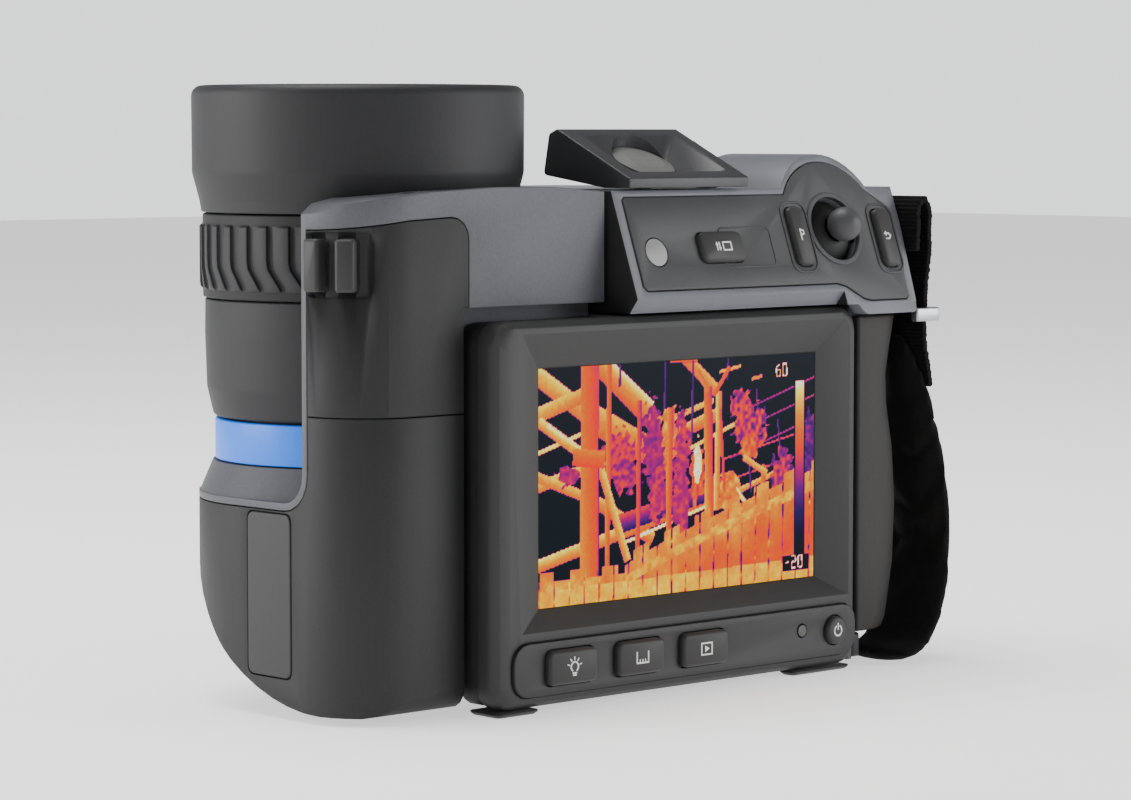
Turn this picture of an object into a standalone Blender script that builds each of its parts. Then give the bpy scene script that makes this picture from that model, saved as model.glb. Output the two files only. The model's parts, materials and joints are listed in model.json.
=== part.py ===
"""Handheld thermal imaging camera with a tilting optical block.

Axes: +X to the user's right, +Y away from the user, +Z up.  Sizes are written in
millimetres times MM.  While the pieces are made, the zero point is the display
opening's left edge (X), the display surface (Y) and the floor (Z).  The last step
hangs everything on one empty that moves the zero point to the middle of the base.
"""
import math

import bmesh
import bpy
from mathutils import Matrix, Vector

MM = 0.001
GAP = 0.3 * MM          # between pieces that touch or sit in a pocket
FAR = 300 * MM          # past everything, for cutters

# Display unit
SCREEN_W, SCREEN_H = 95 * MM, 57 * MM
SCREEN_LOW = 24.5 * MM
BEZEL_LEFT, BEZEL_RIGHT = 17 * MM, 12.5 * MM        # margins beside the opening
BEZEL_TOP, BEZEL_LOW = 11.5 * MM, 23 * MM           # margins over and under it
BEZEL_PROUD = 4 * MM                                # rim stands before the screen
BEZEL_DEPTH = 6.6 * MM
BEZEL_CORNER = 5.5 * MM
SLOPE = 9 * MM                                      # width of the sloped surround
SLOPE_LOW = 5 * MM
WING_BACK = 9.6 * MM
TRAY_BACK = 5 * MM
GLASS_THICK = 1.8 * MM
GLASS_LAP = 1 * MM
MODULE_LAP = 3 * MM
MODULE_THICK = 1.9 * MM

# Keys under the display
STRIP_LEFT, STRIP_RIGHT = -12 * MM, 105.5 * MM
STRIP_LOW, STRIP_HIGH = 4.5 * MM, 17.2 * MM
STRIP_THICK, STRIP_PROUD = 1.4 * MM, 0.9 * MM
STRIP_CORNER = 4.5 * MM
KEY_W, KEY_H, KEY_CORNER = 15.6 * MM, 8.2 * MM, 1.6 * MM
KEY_PROUD = 1.7 * MM
KEY_ROW = 10.9 * MM
KEY_PLACES = {"light_key": 5.6 * MM, "measure_key": 28.1 * MM, "gallery_key": 50.0 * MM}
POWER_X, POWER_D = 97.6 * MM, 7.2 * MM
LED_X, LED_Z, LED_D = 85.7 * MM, 11.8 * MM, 3 * MM

# Hinge of the optical block, along X
HINGE_Y, HINGE_Z = 50.6 * MM, 42 * MM
HUB_R, HUB_FLANGE_R, HUB_BORE_R = 8 * MM, 11 * MM, 5 * MM

# Optical block, lens pointing up
BLOCK_W = 78 * MM
BLOCK_RIGHT, BLOCK_NEAR, BLOCK_LOW = 26.2 * MM, 5 * MM, 2 * MM
BLOCK_TOP = 124.4 * MM
BLOCK_CORNER = 18 * MM
BLOCK_FOOT_R = 5 * MM
BASE_ARC_R, BASE_ARC_Y = 60 * MM, 18.8 * MM          # round underside, then a straight slope
UPRIGHT_FAR = 24.5 * MM                             # depth of the wall beside the lens
LEDGE_Z = 96.3 * MM                                 # block widens over the display
LEDGE_X = -19 * MM
BASE_TOP = 50.9 * MM
COVER_THICK = 2.2 * MM
COVER_RIGHT = -17.5 * MM
COVER_SPLIT = 71.6 * MM
COVER_TOP = 117.6 * MM
COVER_EDGE = 2 * MM                                 # frame strip left at the upright's far edge
BLOCK_WALL = 3 * MM
DETECTOR_LOW, DETECTOR_R = 27.6 * MM, 11 * MM

# Windows in the block's top (place, width) and pieces on its side
FRONT_WINDOWS = {"camera_window": (17.5 * MM, 13.6 * MM, 3.8 * MM),
                 "laser_window": (-30.0 * MM, 11.4 * MM, 2.4 * MM)}
PLATE_Y, PLATE_Z, PLATE_W, PLATE_H = 37 * MM, 29 * MM, 16 * MM, 38.5 * MM
PLATE_THICK = 0.9 * MM
SIDE_KEY_W, SIDE_KEY_H, SIDE_KEY_Z = 4.6 * MM, 12.2 * MM, 106.7 * MM
SIDE_KEYS = {"near_side_key": 216, "far_side_key": 190}     # angles round the near corner

# Lens, on the block's own round end
HOOD_R, HOOD_TOP, HOOD_LOW = 40.3 * MM, 148.5 * MM, 128 * MM
FOCUS_R, FOCUS_LOW, FOCUS_TOP = 38.5 * MM, 97.6 * MM, 117.8 * MM
BARREL_R, BARREL_LOW = 37.3 * MM, 69 * MM
BAND_R, BAND_LOW, BAND_TOP = 35 * MM, 58.5 * MM, 68.4 * MM
COLLAR_TOP, COLLAR_R = 58.2 * MM, 35.6 * MM
LENS_BORE_R = 27 * MM
STUB_R, STUB_LOW = 30 * MM, 46.5 * MM
SLEEVE_WALL = 2.5 * MM

# Main body
BODY_LEFT = BLOCK_RIGHT + 2 * MM
BODY_RIGHT = 123.6 * MM
BODY_LOW, BODY_TOP = 1.8 * MM, 93 * MM
HUB_FAR = 84 * MM                                   # far face behind the hub
GRIP_FAR = 68 * MM                                  # far face at the hand
HUB_RIGHT = 82 * MM
BODY_FOOT_R = 22 * MM
WALL = 2.6 * MM
STEP_X, STEP_Z = 109.5 * MM, 8.8 * MM               # body stops short over the strap's end

# Top cover and tilted control panel
PANEL_TILT = 20
PANEL_Y, PANEL_Z = -4.6 * MM, 97.1 * MM             # lower edge of the panel's frame
DECK_Z = 123.1 * MM
TOP_RIGHT = 128.6 * MM
CHIN_LEAN = 2.2 * MM                                # the right edge draws in at the chin
PANEL_SINK, PANEL_PROUD = 1.2 * MM, 0.3 * MM
COVER_WALL = 4.4 * MM
STICK_X, STICK_S = 103.1 * MM, 16.5 * MM            # on the panel: right, and up the slope
STICK_RECESS_R = 8.6 * MM
HUMP_R, HUMP_FAR = 19 * MM, 40 * MM
PANEL_ARC_R = 17.9 * MM
PANEL_KEYS = {
    "mode_key": (60.2 * MM, 12.4 * MM, 15 * MM, 7.6 * MM),
    "program_key": (89.2 * MM, 14.6 * MM, 6 * MM, 15.4 * MM),
    "back_key": (120.9 * MM, 13.6 * MM, 6 * MM, 15.4 * MM),
}
SENSOR_X, SENSOR_S, SENSOR_D = 38.1 * MM, 11.7 * MM, 7 * MM
BALL_R, STEM_R = 4.4 * MM, 1.5 * MM
STICK_PIVOT = 7 * MM                                # under the panel's face

# Viewfinder
VIEW_LEFT, VIEW_W = 31.8 * MM, 41.1 * MM
VIEW_NEAR, VIEW_DEEP = 2 * MM, 31 * MM
VIEW_LIFT = 0.6 * MM
VIEW_SLOPE = 25.9
VIEW_EDGE = 1.8 * MM                                # height of the near face
EYE_R = 8.6 * MM
PIN_R = 1 * MM

# Hand grip and strap
GRIP_SKIN = 3 * MM
GRIP_LOW, GRIP_TOP = 9.2 * MM, 90.4 * MM
STRAP_W = 25 * MM
STRAP_NEAR = -8 * MM
LOOP_BAR, LOOP_WIRE = 3.5 * MM, 2.2 * MM            # height and thickness of the loop's bar
LOOP_REACH = 12.6 * MM
LOOP_NEAR = -6.6 * MM
LOOP_Z = 88.4 * MM
WEB_W, WEB_THICK, WEB_SPARE, PAD_THICK = 19 * MM, 1.8 * MM, 0.4 * MM, 5 * MM

# Battery, trigger, doors, feet
BATTERY_X, BATTERY_Y = 52 * MM, 24 * MM
BATTERY_W, BATTERY_D, BATTERY_H = 44 * MM, 34 * MM, 66 * MM
LATCH_W, LATCH_D, LATCH_TRAVEL = 9 * MM, 6 * MM, 3 * MM
BUSH_X, BUSH_Y, BUSH_R, BUSH_H = 41 * MM, 41 * MM, 5.5 * MM, 8 * MM
THREAD_R = 3.2 * MM
TRIGGER_W, TRIGGER_H, TRIGGER_Z = 17 * MM, 12 * MM, 109 * MM
DOOR_X, DOOR_Z, DOOR_W, DOOR_H = 36 * MM, 50 * MM, 30 * MM, 34 * MM
DOOR_THICK = 2 * MM

# Worked out from the sizes above
LENS_X = BLOCK_RIGHT - BLOCK_W / 2
LENS_Y = HINGE_Y
BLOCK_LEFT = BLOCK_RIGHT - BLOCK_W
DRUM_R = HINGE_Z - BLOCK_LOW
BEZEL_X0, BEZEL_X1 = -BEZEL_LEFT, SCREEN_W + BEZEL_RIGHT
BEZEL_Z0, BEZEL_Z1 = SCREEN_LOW - BEZEL_LOW, SCREEN_LOW + SCREEN_H + BEZEL_TOP
BEZEL_BACK = BEZEL_DEPTH - BEZEL_PROUD
TILT = math.radians(PANEL_TILT)

FINISHES = {
    "dark_cover": ((0.050, 0.050, 0.052), 0.62, 0.0),
    "grey_shell": ((0.155, 0.158, 0.168), 0.48, 0.25),
    "light_frame": ((0.240, 0.243, 0.262), 0.42, 0.25),
    "bezel": ((0.072, 0.072, 0.072), 0.55, 0.0),
    "panel": ((0.100, 0.100, 0.103), 0.50, 0.0),
    "key_rubber": ((0.030, 0.030, 0.031), 0.55, 0.0),
    "grip_rubber": ((0.062, 0.056, 0.053), 0.72, 0.0),
    "blue_band": ((0.090, 0.400, 0.790), 0.35, 0.1),
    "lens_black": ((0.030, 0.030, 0.031), 0.58, 0.0),
    "germanium": ((0.120, 0.110, 0.140), 0.12, 0.6),
    "clear_glass": ((0.550, 0.560, 0.560), 0.08, 0.0),
    "bright_metal": ((0.700, 0.705, 0.710), 0.32, 1.0),
    "dark_metal": ((0.120, 0.120, 0.125), 0.40, 0.8),
    "circuit_board": ((0.020, 0.130, 0.060), 0.45, 0.0),
    "webbing": ((0.012, 0.012, 0.012), 0.85, 0.0),
    "soft_pad": ((0.022, 0.020, 0.019), 0.70, 0.0),
}


def finish(name):
    """The named Principled material, made the first time it is asked for."""
    known = bpy.data.materials.get(name)
    if known:
        return known
    colour, roughness, metallic = FINISHES[name]
    made = bpy.data.materials.new(name)
    made.use_nodes = True
    shader = made.node_tree.nodes["Principled BSDF"]
    shader.inputs["Base Color"].default_value = (*colour, 1.0)
    shader.inputs["Roughness"].default_value = roughness
    shader.inputs["Metallic"].default_value = metallic
    return made


def keep_mesh(name, bm, look):
    """Turn a bmesh into an object in the scene; a look of None makes it a cutter."""
    bmesh.ops.recalc_face_normals(bm, faces=bm.faces)
    mesh = bpy.data.meshes.new(name)
    bm.to_mesh(mesh)
    bm.free()
    mesh.shade_smooth()
    mesh.set_sharp_from_angle(angle=math.radians(32))
    piece = bpy.data.objects.new(name, mesh)
    bpy.context.scene.collection.objects.link(piece)
    if look is None:
        piece.hide_render = True
        piece.display_type = "WIRE"
    else:
        mesh.materials.append(finish(look))
    return piece


def arc(x, y, radius, start, end, steps):
    """Points along a circle, angles in degrees, both ends included."""
    angles = [math.radians(start + (end - start) * i / steps) for i in range(steps + 1)]
    return [(x + radius * math.cos(a), y + radius * math.sin(a)) for a in angles]


def rounded(corners, steps=5):
    """An outline from (x, y, radius) corners, each corner turned into an arc."""
    outline = []
    for i, (x, y, radius) in enumerate(corners):
        if radius <= 0:
            outline.append((x, y))
            continue
        here = Vector((x, y))
        before = (Vector(corners[i - 1][:2]) - here).normalized()
        after = (Vector(corners[(i + 1) % len(corners)][:2]) - here).normalized()
        half = before.angle(after) / 2
        centre = here + (before + after).normalized() * (radius / math.sin(half))
        first = here + before * (radius / math.tan(half)) - centre
        turn = first.angle_signed(here + after * (radius / math.tan(half)) - centre)
        for k in range(steps + 1):
            angle = -turn * k / steps
            outline.append(tuple(centre + Matrix.Rotation(angle, 2) @ first))
    return outline


def grown(outline, spare):
    """The outline moved outward by a distance, with mitred corners."""
    around = sum(a[0] * b[1] - b[0] * a[1] for a, b in zip(outline, outline[1:] + outline[:1]))
    turn = math.copysign(1, around)
    moved = []
    for i, point in enumerate(outline):
        here = Vector(point)
        ahead = (Vector(outline[(i + 1) % len(outline)]) - here).normalized()
        behind = (here - Vector(outline[i - 1])).normalized()
        first = Vector((behind.y, -behind.x)) * turn
        second = Vector((ahead.y, -ahead.x)) * turn
        moved.append(tuple(here + (first + second) * (spare / (1 + first.dot(second)))))
    return moved


def rectangle(x0, y0, x1, y1, radius=0.0, steps=4):
    """A rectangle's outline with round corners."""
    corners = [(x0, y0, radius), (x1, y0, radius), (x1, y1, radius), (x0, y1, radius)]
    return rounded(corners, steps)


def loft(name, sections, look):
    """A closed solid through outlines that have the same number of points."""
    bm = bmesh.new()
    rings = [[bm.verts.new(point) for point in section] for section in sections]
    for low, high in zip(rings, rings[1:]):
        for i in range(len(low)):
            j = (i + 1) % len(low)
            bm.faces.new((low[i], low[j], high[j], high[i]))
    bm.faces.new(rings[0])
    bm.faces.new(rings[-1])
    return keep_mesh(name, bm, look)


def along(axis, outline, value):
    """Put a flat outline at one place along an axis; X takes (y, z), Y takes (x, z)."""
    if axis == "X":
        return [(value, a, b) for a, b in outline]
    if axis == "Y":
        return [(a, value, b) for a, b in outline]
    return [(a, b, value) for a, b in outline]


def prism(name, axis, outline, low, high, look=None):
    """An outline pushed along an axis from low to high."""
    return loft(name, [along(axis, outline, low), along(axis, outline, high)], look)


def box(name, low, high, look=None, edge=0.0, steps=2):
    """A box between two corners, with its edges rounded when edge is given."""
    piece = prism(name, "Z", rectangle(low[0], low[1], high[0], high[1]), low[2], high[2], look)
    if edge:
        soften(piece, edge, steps)
    return piece


def soften(piece, width, steps=2):
    """Round the edges that turn by more than 40 degrees."""
    bevel = piece.modifiers.new("edges", "BEVEL")
    bevel.width = width
    bevel.segments = steps
    bevel.limit_method = "ANGLE"
    bevel.angle_limit = math.radians(40)


def turned(name, profile, look=None, steps=40, centre=(0, 0, 0), turn=None):
    """A solid turned from a closed (radius, height) profile about local Z."""
    bm = bmesh.new()
    rings = []
    for radius, height in profile:
        if radius <= 0:
            rings.append([bm.verts.new((0, 0, height))] * steps)
            continue
        points = arc(0, 0, radius, 0, 360 - 360 / steps, steps - 1)
        rings.append([bm.verts.new((x, y, height)) for x, y in points])
    for low, high in zip(rings, rings[1:] + rings[:1]):
        for i in range(steps):
            j = (i + 1) % steps
            corners = dict.fromkeys((low[i], low[j], high[j], high[i]))
            if len(corners) > 2:
                bm.faces.new(corners)
    if turn:
        bm.transform(turn)
    piece = keep_mesh(name, bm, look)
    piece.location = centre
    return piece


def disc(radius, low, high):
    """The profile of a plain disc."""
    return [(0, low), (radius, low), (radius, high), (0, high)]


def tube(inner, outer, low, high):
    """The profile of a plain ring."""
    return [(inner, low), (outer, low), (outer, high), (inner, high)]


def cut(piece, *tools, kind="DIFFERENCE"):
    """Boolean the piece with tools, which then count as cutters."""
    for tool in tools:
        tool.hide_render = True
        tool.display_type = "WIRE"
        change = piece.modifiers.new(tool.name, "BOOLEAN")
        change.operation = kind
        change.object = tool
    return piece


def join(piece, *tools):
    """Grow the piece by the tools."""
    return cut(piece, *tools, kind="UNION")


def keep_inside(piece, *tools):
    """Keep what the piece and the tools share."""
    return cut(piece, *tools, kind="INTERSECT")


TO_USER = Matrix.Rotation(math.radians(90), 4, "X")  # local Z to -Y, local Y to +Z
TO_X = Matrix.Rotation(math.radians(90), 4, "Y")    # local Z to +X
# Turned by half a facet, so that crossing rounds share no corner
HALF_FACET = Matrix.Rotation(math.radians(3.75), 4, "Z")


def stand(piece, matrix):
    """Turn and place a piece that was made flat on its own axes."""
    piece.matrix_world = matrix
    return piece


def on_panel(x, s, out=0.0):
    """Matrix of a point on the tilted panel: x right, s up the slope, out of the face."""
    place = Vector((x, PANEL_Y + s * math.sin(TILT), PANEL_Z + s * math.cos(TILT)))
    place += panel_normal() * out
    return Matrix.Translation(place) @ Matrix.Rotation(math.radians(90) - TILT, 4, "X")


def panel_normal():
    """Direction out of the tilted panel, towards the user."""
    return Vector((0, -math.cos(TILT), math.sin(TILT)))


def key_cap(name, width, height, corner, back, front, look, crown=0.6 * MM):
    """A key flat on local XY: straight sides and a rounded rim at the front."""
    levels = [(back, 0.0), (front - crown, 0.0), (front - 0.3 * crown, 0.35 * crown),
              (front, crown)]
    sections = []
    for z, inset in levels:
        x, y = width / 2 - inset, height / 2 - inset
        sections.append(along("Z", rectangle(-x, -y, x, y, max(corner - inset, 0.3 * MM)), z))
    return loft(name, sections, look)


def key_hole(name, width, height, corner, back, front, spare=GAP):
    """Cutter that leaves room round a key."""
    x, y = width / 2 + spare, height / 2 + spare
    return prism(name, "Z", rectangle(-x, -y, x, y, corner + spare), back, front)


# ---------------------------------------------------------------- display unit

def display_frame():
    """Bezel with a rounded rim, a sloped surround and the key strip's seat."""
    sections = []
    for y, inset in ((-BEZEL_PROUD, 3.6), (-BEZEL_PROUD + 0.5 * MM, 1.5),
                     (-BEZEL_PROUD + 1.7 * MM, 0.35), (-BEZEL_PROUD + 3.2 * MM, 0.0),
                     (BEZEL_BACK, 0.0)):
        d = inset * MM
        outline = rectangle(BEZEL_X0 + d, BEZEL_Z0 + d, BEZEL_X1 - d, BEZEL_Z1 - d,
                            BEZEL_CORNER - 0.6 * d)
        sections.append(along("Y", outline, y))
    frame = loft("display_frame", sections, "bezel")
    wide = rectangle(-SLOPE, SCREEN_LOW - SLOPE_LOW, SCREEN_W + SLOPE,
                     SCREEN_LOW + SCREEN_H + SLOPE)
    opening = rectangle(0, SCREEN_LOW, SCREEN_W, SCREEN_LOW + SCREEN_H)
    slope = loft("cut_surround", [along("Y", wide, -BEZEL_PROUD - 0.01 * MM),
                                  along("Y", opening, 0)], None)
    through = prism("cut_screen", "Y", opening, -BEZEL_PROUD, FAR)
    lap = GLASS_LAP + GAP
    pocket = prism("cut_glass", "Y", rectangle(-lap, SCREEN_LOW - lap, SCREEN_W + lap,
                                               SCREEN_LOW + SCREEN_H + lap), 0, FAR)
    seat = prism("cut_strip", "Y", strip_outline(GAP), -FAR,
                 -BEZEL_PROUD - STRIP_PROUD + STRIP_THICK + GAP)
    return cut(frame, slope, through, pocket, seat, *row_holes("frame"))


def strip_outline(spare=0.0):
    """Outline of the key strip, as seen from the front."""
    return rectangle(STRIP_LEFT - spare, STRIP_LOW - spare, STRIP_RIGHT + spare,
                     STRIP_HIGH + spare, STRIP_CORNER + spare)


def row_holes(owner):
    """Cutters for the three keys, the power key and the lamp."""
    holes = []
    for name, x in KEY_PLACES.items():
        hole = key_hole(f"cut_{owner}_{name}", KEY_W, KEY_H, KEY_CORNER, -FAR / 10, FAR / 10)
        holes.append(stand(hole, Matrix.Translation((x, 0, KEY_ROW)) @ TO_USER))
    for name, x, z, size in (("power", POWER_X, KEY_ROW, POWER_D), ("lamp", LED_X, LED_Z, LED_D)):
        holes.append(turned(f"cut_{owner}_{name}", disc(size / 2 + GAP, -FAR / 10, FAR / 10),
                            None, 24, (x, 0, z), TO_USER))
    return holes


def key_row():
    """Key strip, its keys and the status lamp."""
    front = -BEZEL_PROUD - STRIP_PROUD
    strip = prism("key_strip", "Y", strip_outline(), front, front + STRIP_THICK, "bezel")
    cut(strip, *row_holes("strip"))
    back = -1.2 * MM
    for name, x in KEY_PLACES.items():
        key = key_cap(name, KEY_W, KEY_H, KEY_CORNER, back, KEY_PROUD, "key_rubber")
        stand(key, Matrix.Translation((x, front, KEY_ROW)) @ TO_USER)
    rim = [(0, back), (POWER_D / 2, back), (POWER_D / 2, KEY_PROUD - 0.9 * MM),
           (POWER_D / 2 - 0.6 * MM, KEY_PROUD - 0.3 * MM), (0, KEY_PROUD - 0.3 * MM)]
    turned("power_key", rim, "key_rubber", 24, (POWER_X, front, KEY_ROW), TO_USER)
    turned("status_lamp", disc(LED_D / 2, back, 0.2 * MM), "clear_glass", 16,
           (LED_X, front, LED_Z), TO_USER)


def display_inside():
    """Cover glass, display module and the tray that closes the wing's back."""
    box("screen_glass", (-GLASS_LAP, GAP, SCREEN_LOW - GLASS_LAP),
        (SCREEN_W + GLASS_LAP, GAP + GLASS_THICK, SCREEN_LOW + SCREEN_H + GLASS_LAP), "clear_glass")
    front = BEZEL_BACK + GAP
    low = (-MODULE_LAP, front, SCREEN_LOW - MODULE_LAP)
    high = (SCREEN_W + MODULE_LAP, front + MODULE_THICK, SCREEN_LOW + SCREEN_H + MODULE_LAP)
    box("display_module", low, high, "dark_metal")
    side = 0.4 * MM
    plate = rectangle(BEZEL_X0 + side, BEZEL_Z0 + side, BEZEL_X1 - side, BEZEL_Z1 - side,
                      BEZEL_CORNER)
    tray = prism("display_back", "Y", plate, front, TRAY_BACK, "dark_cover")
    wing = rectangle(BEZEL_X0 + side, BEZEL_Z0 + side, BODY_LEFT - GAP, BEZEL_Z1 - side,
                     BEZEL_CORNER)
    join(tray, prism("add_wing", "Y", wing, front + 0.5 * MM, WING_BACK))
    cut(tray, box("cut_module", [v - GAP for v in low], [v + GAP for v in high]))


# ---------------------------------------------------------------- optical block

def block_solid(name, inset=0.0, look=None):
    """The block's outer shape, or the same shape drawn in by an inset."""
    plan = [(BLOCK_RIGHT - inset, BLOCK_NEAR + inset)]
    plan += arc(LENS_X, LENS_Y, BLOCK_W / 2 - inset, 0, 180, 28)
    plan += arc(BLOCK_LEFT + BLOCK_CORNER, BLOCK_NEAR + BLOCK_CORNER,
                BLOCK_CORNER - inset, 180, 270, 8)
    solid = prism(name, "Z", plan, BLOCK_LOW - MM, BLOCK_TOP + MM, look)
    side = arc(BASE_ARC_Y, BLOCK_LOW + BASE_ARC_R, BASE_ARC_R - inset, 270, 315, 8)
    far = HINGE_Y + BLOCK_W / 2 + MM
    side += [(far, side[-1][1] + far - side[-1][0]), (far, BLOCK_TOP + 5 * MM),
             (-FAR, BLOCK_TOP + 5 * MM), (-FAR, BLOCK_LOW + inset)]
    front = elevation(inset)
    near = near_side(name, inset)
    shape = prism(f"keep_side_{name}", "X", side, -FAR, FAR)
    return cut(keep_inside(solid, shape, prism(f"keep_front_{name}", "Y", front, -FAR, FAR)), *near)


def elevation(inset):
    """The block seen from the user: a lightly arched top that drops to the left."""
    left, right, top = BLOCK_LEFT + inset, BLOCK_RIGHT - inset, BLOCK_TOP - inset
    arch = [(right, top - 1.4 * MM), (10 * MM, top - 0.2 * MM), (-8 * MM, top),
            (-28 * MM, top - 0.9 * MM), (left + 9 * MM, top - 2.4 * MM),
            (left + 3 * MM, top - 3.6 * MM), (left, top - 6 * MM)]
    return [(right, 0), *arch, (left, 0)]


def near_side(name, inset):
    """Cutters that free the display wing and round the near foot of the block."""
    wing = [(-FAR, -FAR), (HINGE_Y, -FAR)]
    wing += arc(HINGE_Y, HINGE_Z, DRUM_R - inset, 270, 180, 14)
    wing += [(HINGE_Y - DRUM_R + inset, LEDGE_Z + inset), (-FAR, LEDGE_Z + inset)]
    radius = max(BLOCK_FOOT_R - inset, GAP)
    foot_y, foot_z = BLOCK_NEAR + inset + radius, BLOCK_LOW + inset + radius
    foot = [(-FAR, -FAR), (foot_y, -FAR)]
    foot += arc(foot_y, foot_z, radius, 270, 180, 4) + [(-FAR, foot_z)]
    return (prism(f"cut_wing_{name}", "X", wing, LEDGE_X - inset, FAR),
            prism(f"cut_foot_{name}", "X", foot, -FAR, FAR))


def beside_lens(name, spare=0.0, drop=0.0):
    """Cutter for the open space over the base, where the lens stands."""
    floor = BASE_TOP - drop
    edge = UPRIGHT_FAR - spare
    outline = rounded([(FAR, floor, 0), (FAR, FAR, 0), (edge, FAR, 0),
                       (edge, floor, 7 * MM + spare)], 5)
    return prism(name, "X", outline, -FAR, FAR)


def skin_region(name, lower, spare=0.0):
    """Space taken by one of the two dark covers, seen from the user."""
    right = COVER_RIGHT + spare
    if lower:
        return prism(name, "Y", rectangle(-FAR, -FAR, right, COVER_SPLIT - GAP / 2 + spare),
                     -FAR, FAR)
    outline = rounded([(-FAR, COVER_SPLIT + GAP / 2 - spare, 0),
                       (right, COVER_SPLIT + GAP / 2 - spare, 0),
                       (right, COVER_TOP + spare, 5 * MM + spare),
                       (right - 18 * MM, COVER_TOP - 0.8 * MM + spare, 0),
                       (BLOCK_LEFT, COVER_TOP - 3 * MM + spare, 0),
                       (-FAR, COVER_TOP - 3 * MM + spare, 0)], 4)
    return prism(name, "Y", outline, -FAR, FAR)


def block_cover(name, lower):
    """A dark moulded cover that lies in the frame's sunk skin."""
    cover = block_solid(name, 0.0, "dark_cover")
    inner = block_solid(f"cut_in_{name}", COVER_THICK)
    room = beside_lens(f"cut_room_{name}", COVER_EDGE, COVER_EDGE)
    lens_room = turned(f"cut_lens_{name}", disc(HOOD_R - 0.6 * MM, COLLAR_TOP, FAR), None, 40,
                       (LENS_X, LENS_Y, 0))
    return cut(keep_inside(cover, skin_region(f"keep_{name}", lower)), inner, room, lens_room)


def block_frame():
    """Cast frame of the block: base drum, wall beside the lens, collar and bearing."""
    frame = block_solid("block_frame", 0.0, "grey_shell")
    cut(frame, beside_lens("cut_beside_lens"))
    collar = turned("add_collar", [(0, BASE_TOP - MM), (BLOCK_W / 2 - 0.3 * MM, BASE_TOP - MM),
                                   (BLOCK_W / 2 - 0.3 * MM, BASE_TOP), (COLLAR_R, COLLAR_TOP),
                                   (0, COLLAR_TOP)], None, 48, (LENS_X, LENS_Y, 0))
    join(frame, collar)
    for name, lower in (("skin_up", False), ("skin_down", True)):
        region = skin_region(f"cut_{name}", lower, GAP)
        cut(region, block_solid(f"cut_core_{name}", COVER_THICK + GAP),
            beside_lens(f"cut_edge_{name}", COVER_EDGE - GAP, COVER_EDGE - GAP))
        cut(frame, region)
    inner = BLOCK_W / 2 - COVER_THICK - BLOCK_WALL - 0.5 * MM
    ceiling = STUB_LOW - 3 * MM
    at = (LENS_X, LENS_Y, 0)
    detector_room = turned("cut_detector_room", disc(inner, DETECTOR_LOW - 6 * MM, ceiling), None,
                           48, at)
    keep_inside(detector_room, block_solid("keep_detector_room", COVER_THICK + BLOCK_WALL))
    room = turned("cut_lens_room", [
        (0, ceiling - 6 * MM), (STUB_R + GAP, ceiling - 6 * MM),
        (STUB_R + GAP, COLLAR_TOP + GAP / 2), (HOOD_R - 0.6 * MM, COLLAR_TOP + GAP / 2),
        (HOOD_R - 0.6 * MM, FAR), (0, FAR)], None, 40, at)
    start, wall = hub_flange_x() - GAP, BLOCK_RIGHT - BLOCK_WALL
    bearing = turned("cut_bearing", [
        (0, start - 8 * MM), (HUB_FLANGE_R + GAP, start - 8 * MM), (HUB_FLANGE_R + GAP, wall),
        (HUB_R + GAP, wall), (HUB_R + GAP, FAR), (0, FAR)], None, 48, (0, HINGE_Y, HINGE_Z),
        TO_X @ HALF_FACET)
    return cut(frame, detector_room, room, bearing, *front_window_bores())


def hub_flange_x():
    """Where the hub's flange starts, inside the block's right wall."""
    return BLOCK_RIGHT - BLOCK_WALL - 3 * MM


def front_window_bores():
    """Blind bores in the block's top, which faces forward when the block tilts down."""
    bores = []
    for name, (x, y, radius) in FRONT_WINDOWS.items():
        bores.append(turned(f"cut_{name}", disc(radius + GAP, BLOCK_TOP - 9 * MM, FAR), None, 24,
                            (x, y, 0)))
    return bores


def front_windows():
    """The daylight camera's window and the laser pointer's window."""
    for name, (x, y, radius) in FRONT_WINDOWS.items():
        profile = [(0, -8.7 * MM), (radius, -8.7 * MM), (radius, -3.6 * MM),
                   (radius * 0.55, -2.9 * MM), (0, -2.7 * MM)]
        turned(name, profile, "clear_glass", 24, (x, y, BLOCK_TOP))


def plate_seat(name, spare=GAP):
    """Cutter for the blank plate on the block's left side."""
    outline = rectangle(PLATE_Y - PLATE_W / 2 - spare, PLATE_Z - PLATE_H / 2 - spare,
                        PLATE_Y + PLATE_W / 2 + spare, PLATE_Z + PLATE_H / 2 + spare, 2 * MM)
    return prism(name, "X", outline, -FAR, BLOCK_LEFT + PLATE_THICK + spare)


def side_parts():
    """Blank plate on the lower cover and the two keys at the near corner."""
    plate = prism("side_plate", "X", rectangle(PLATE_Y - PLATE_W / 2, PLATE_Z - PLATE_H / 2,
                                               PLATE_Y + PLATE_W / 2, PLATE_Z + PLATE_H / 2,
                                               2 * MM),
                  BLOCK_LEFT - 0.2 * MM, BLOCK_LEFT + PLATE_THICK, "panel")
    soften(plate, 0.2 * MM, 1)
    for name in SIDE_KEYS:
        key = key_cap(name, SIDE_KEY_W, SIDE_KEY_H, 0.8 * MM, -1.4 * MM, 1.9 * MM, "key_rubber")
        stand(key, side_key_place(name))


def side_key_place(name):
    """Matrix of a key on the block's round near corner, its Z pointing outward."""
    angle = math.radians(SIDE_KEYS[name])
    out = Vector((math.cos(angle), math.sin(angle), 0))
    middle = Vector((BLOCK_LEFT + BLOCK_CORNER, BLOCK_NEAR + BLOCK_CORNER, SIDE_KEY_Z))
    across = Vector((0, 0, 1)).cross(out)
    turn = Matrix((across, (0, 0, 1), out)).transposed().to_4x4()
    return Matrix.Translation(middle + out * BLOCK_CORNER) @ turn


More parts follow.
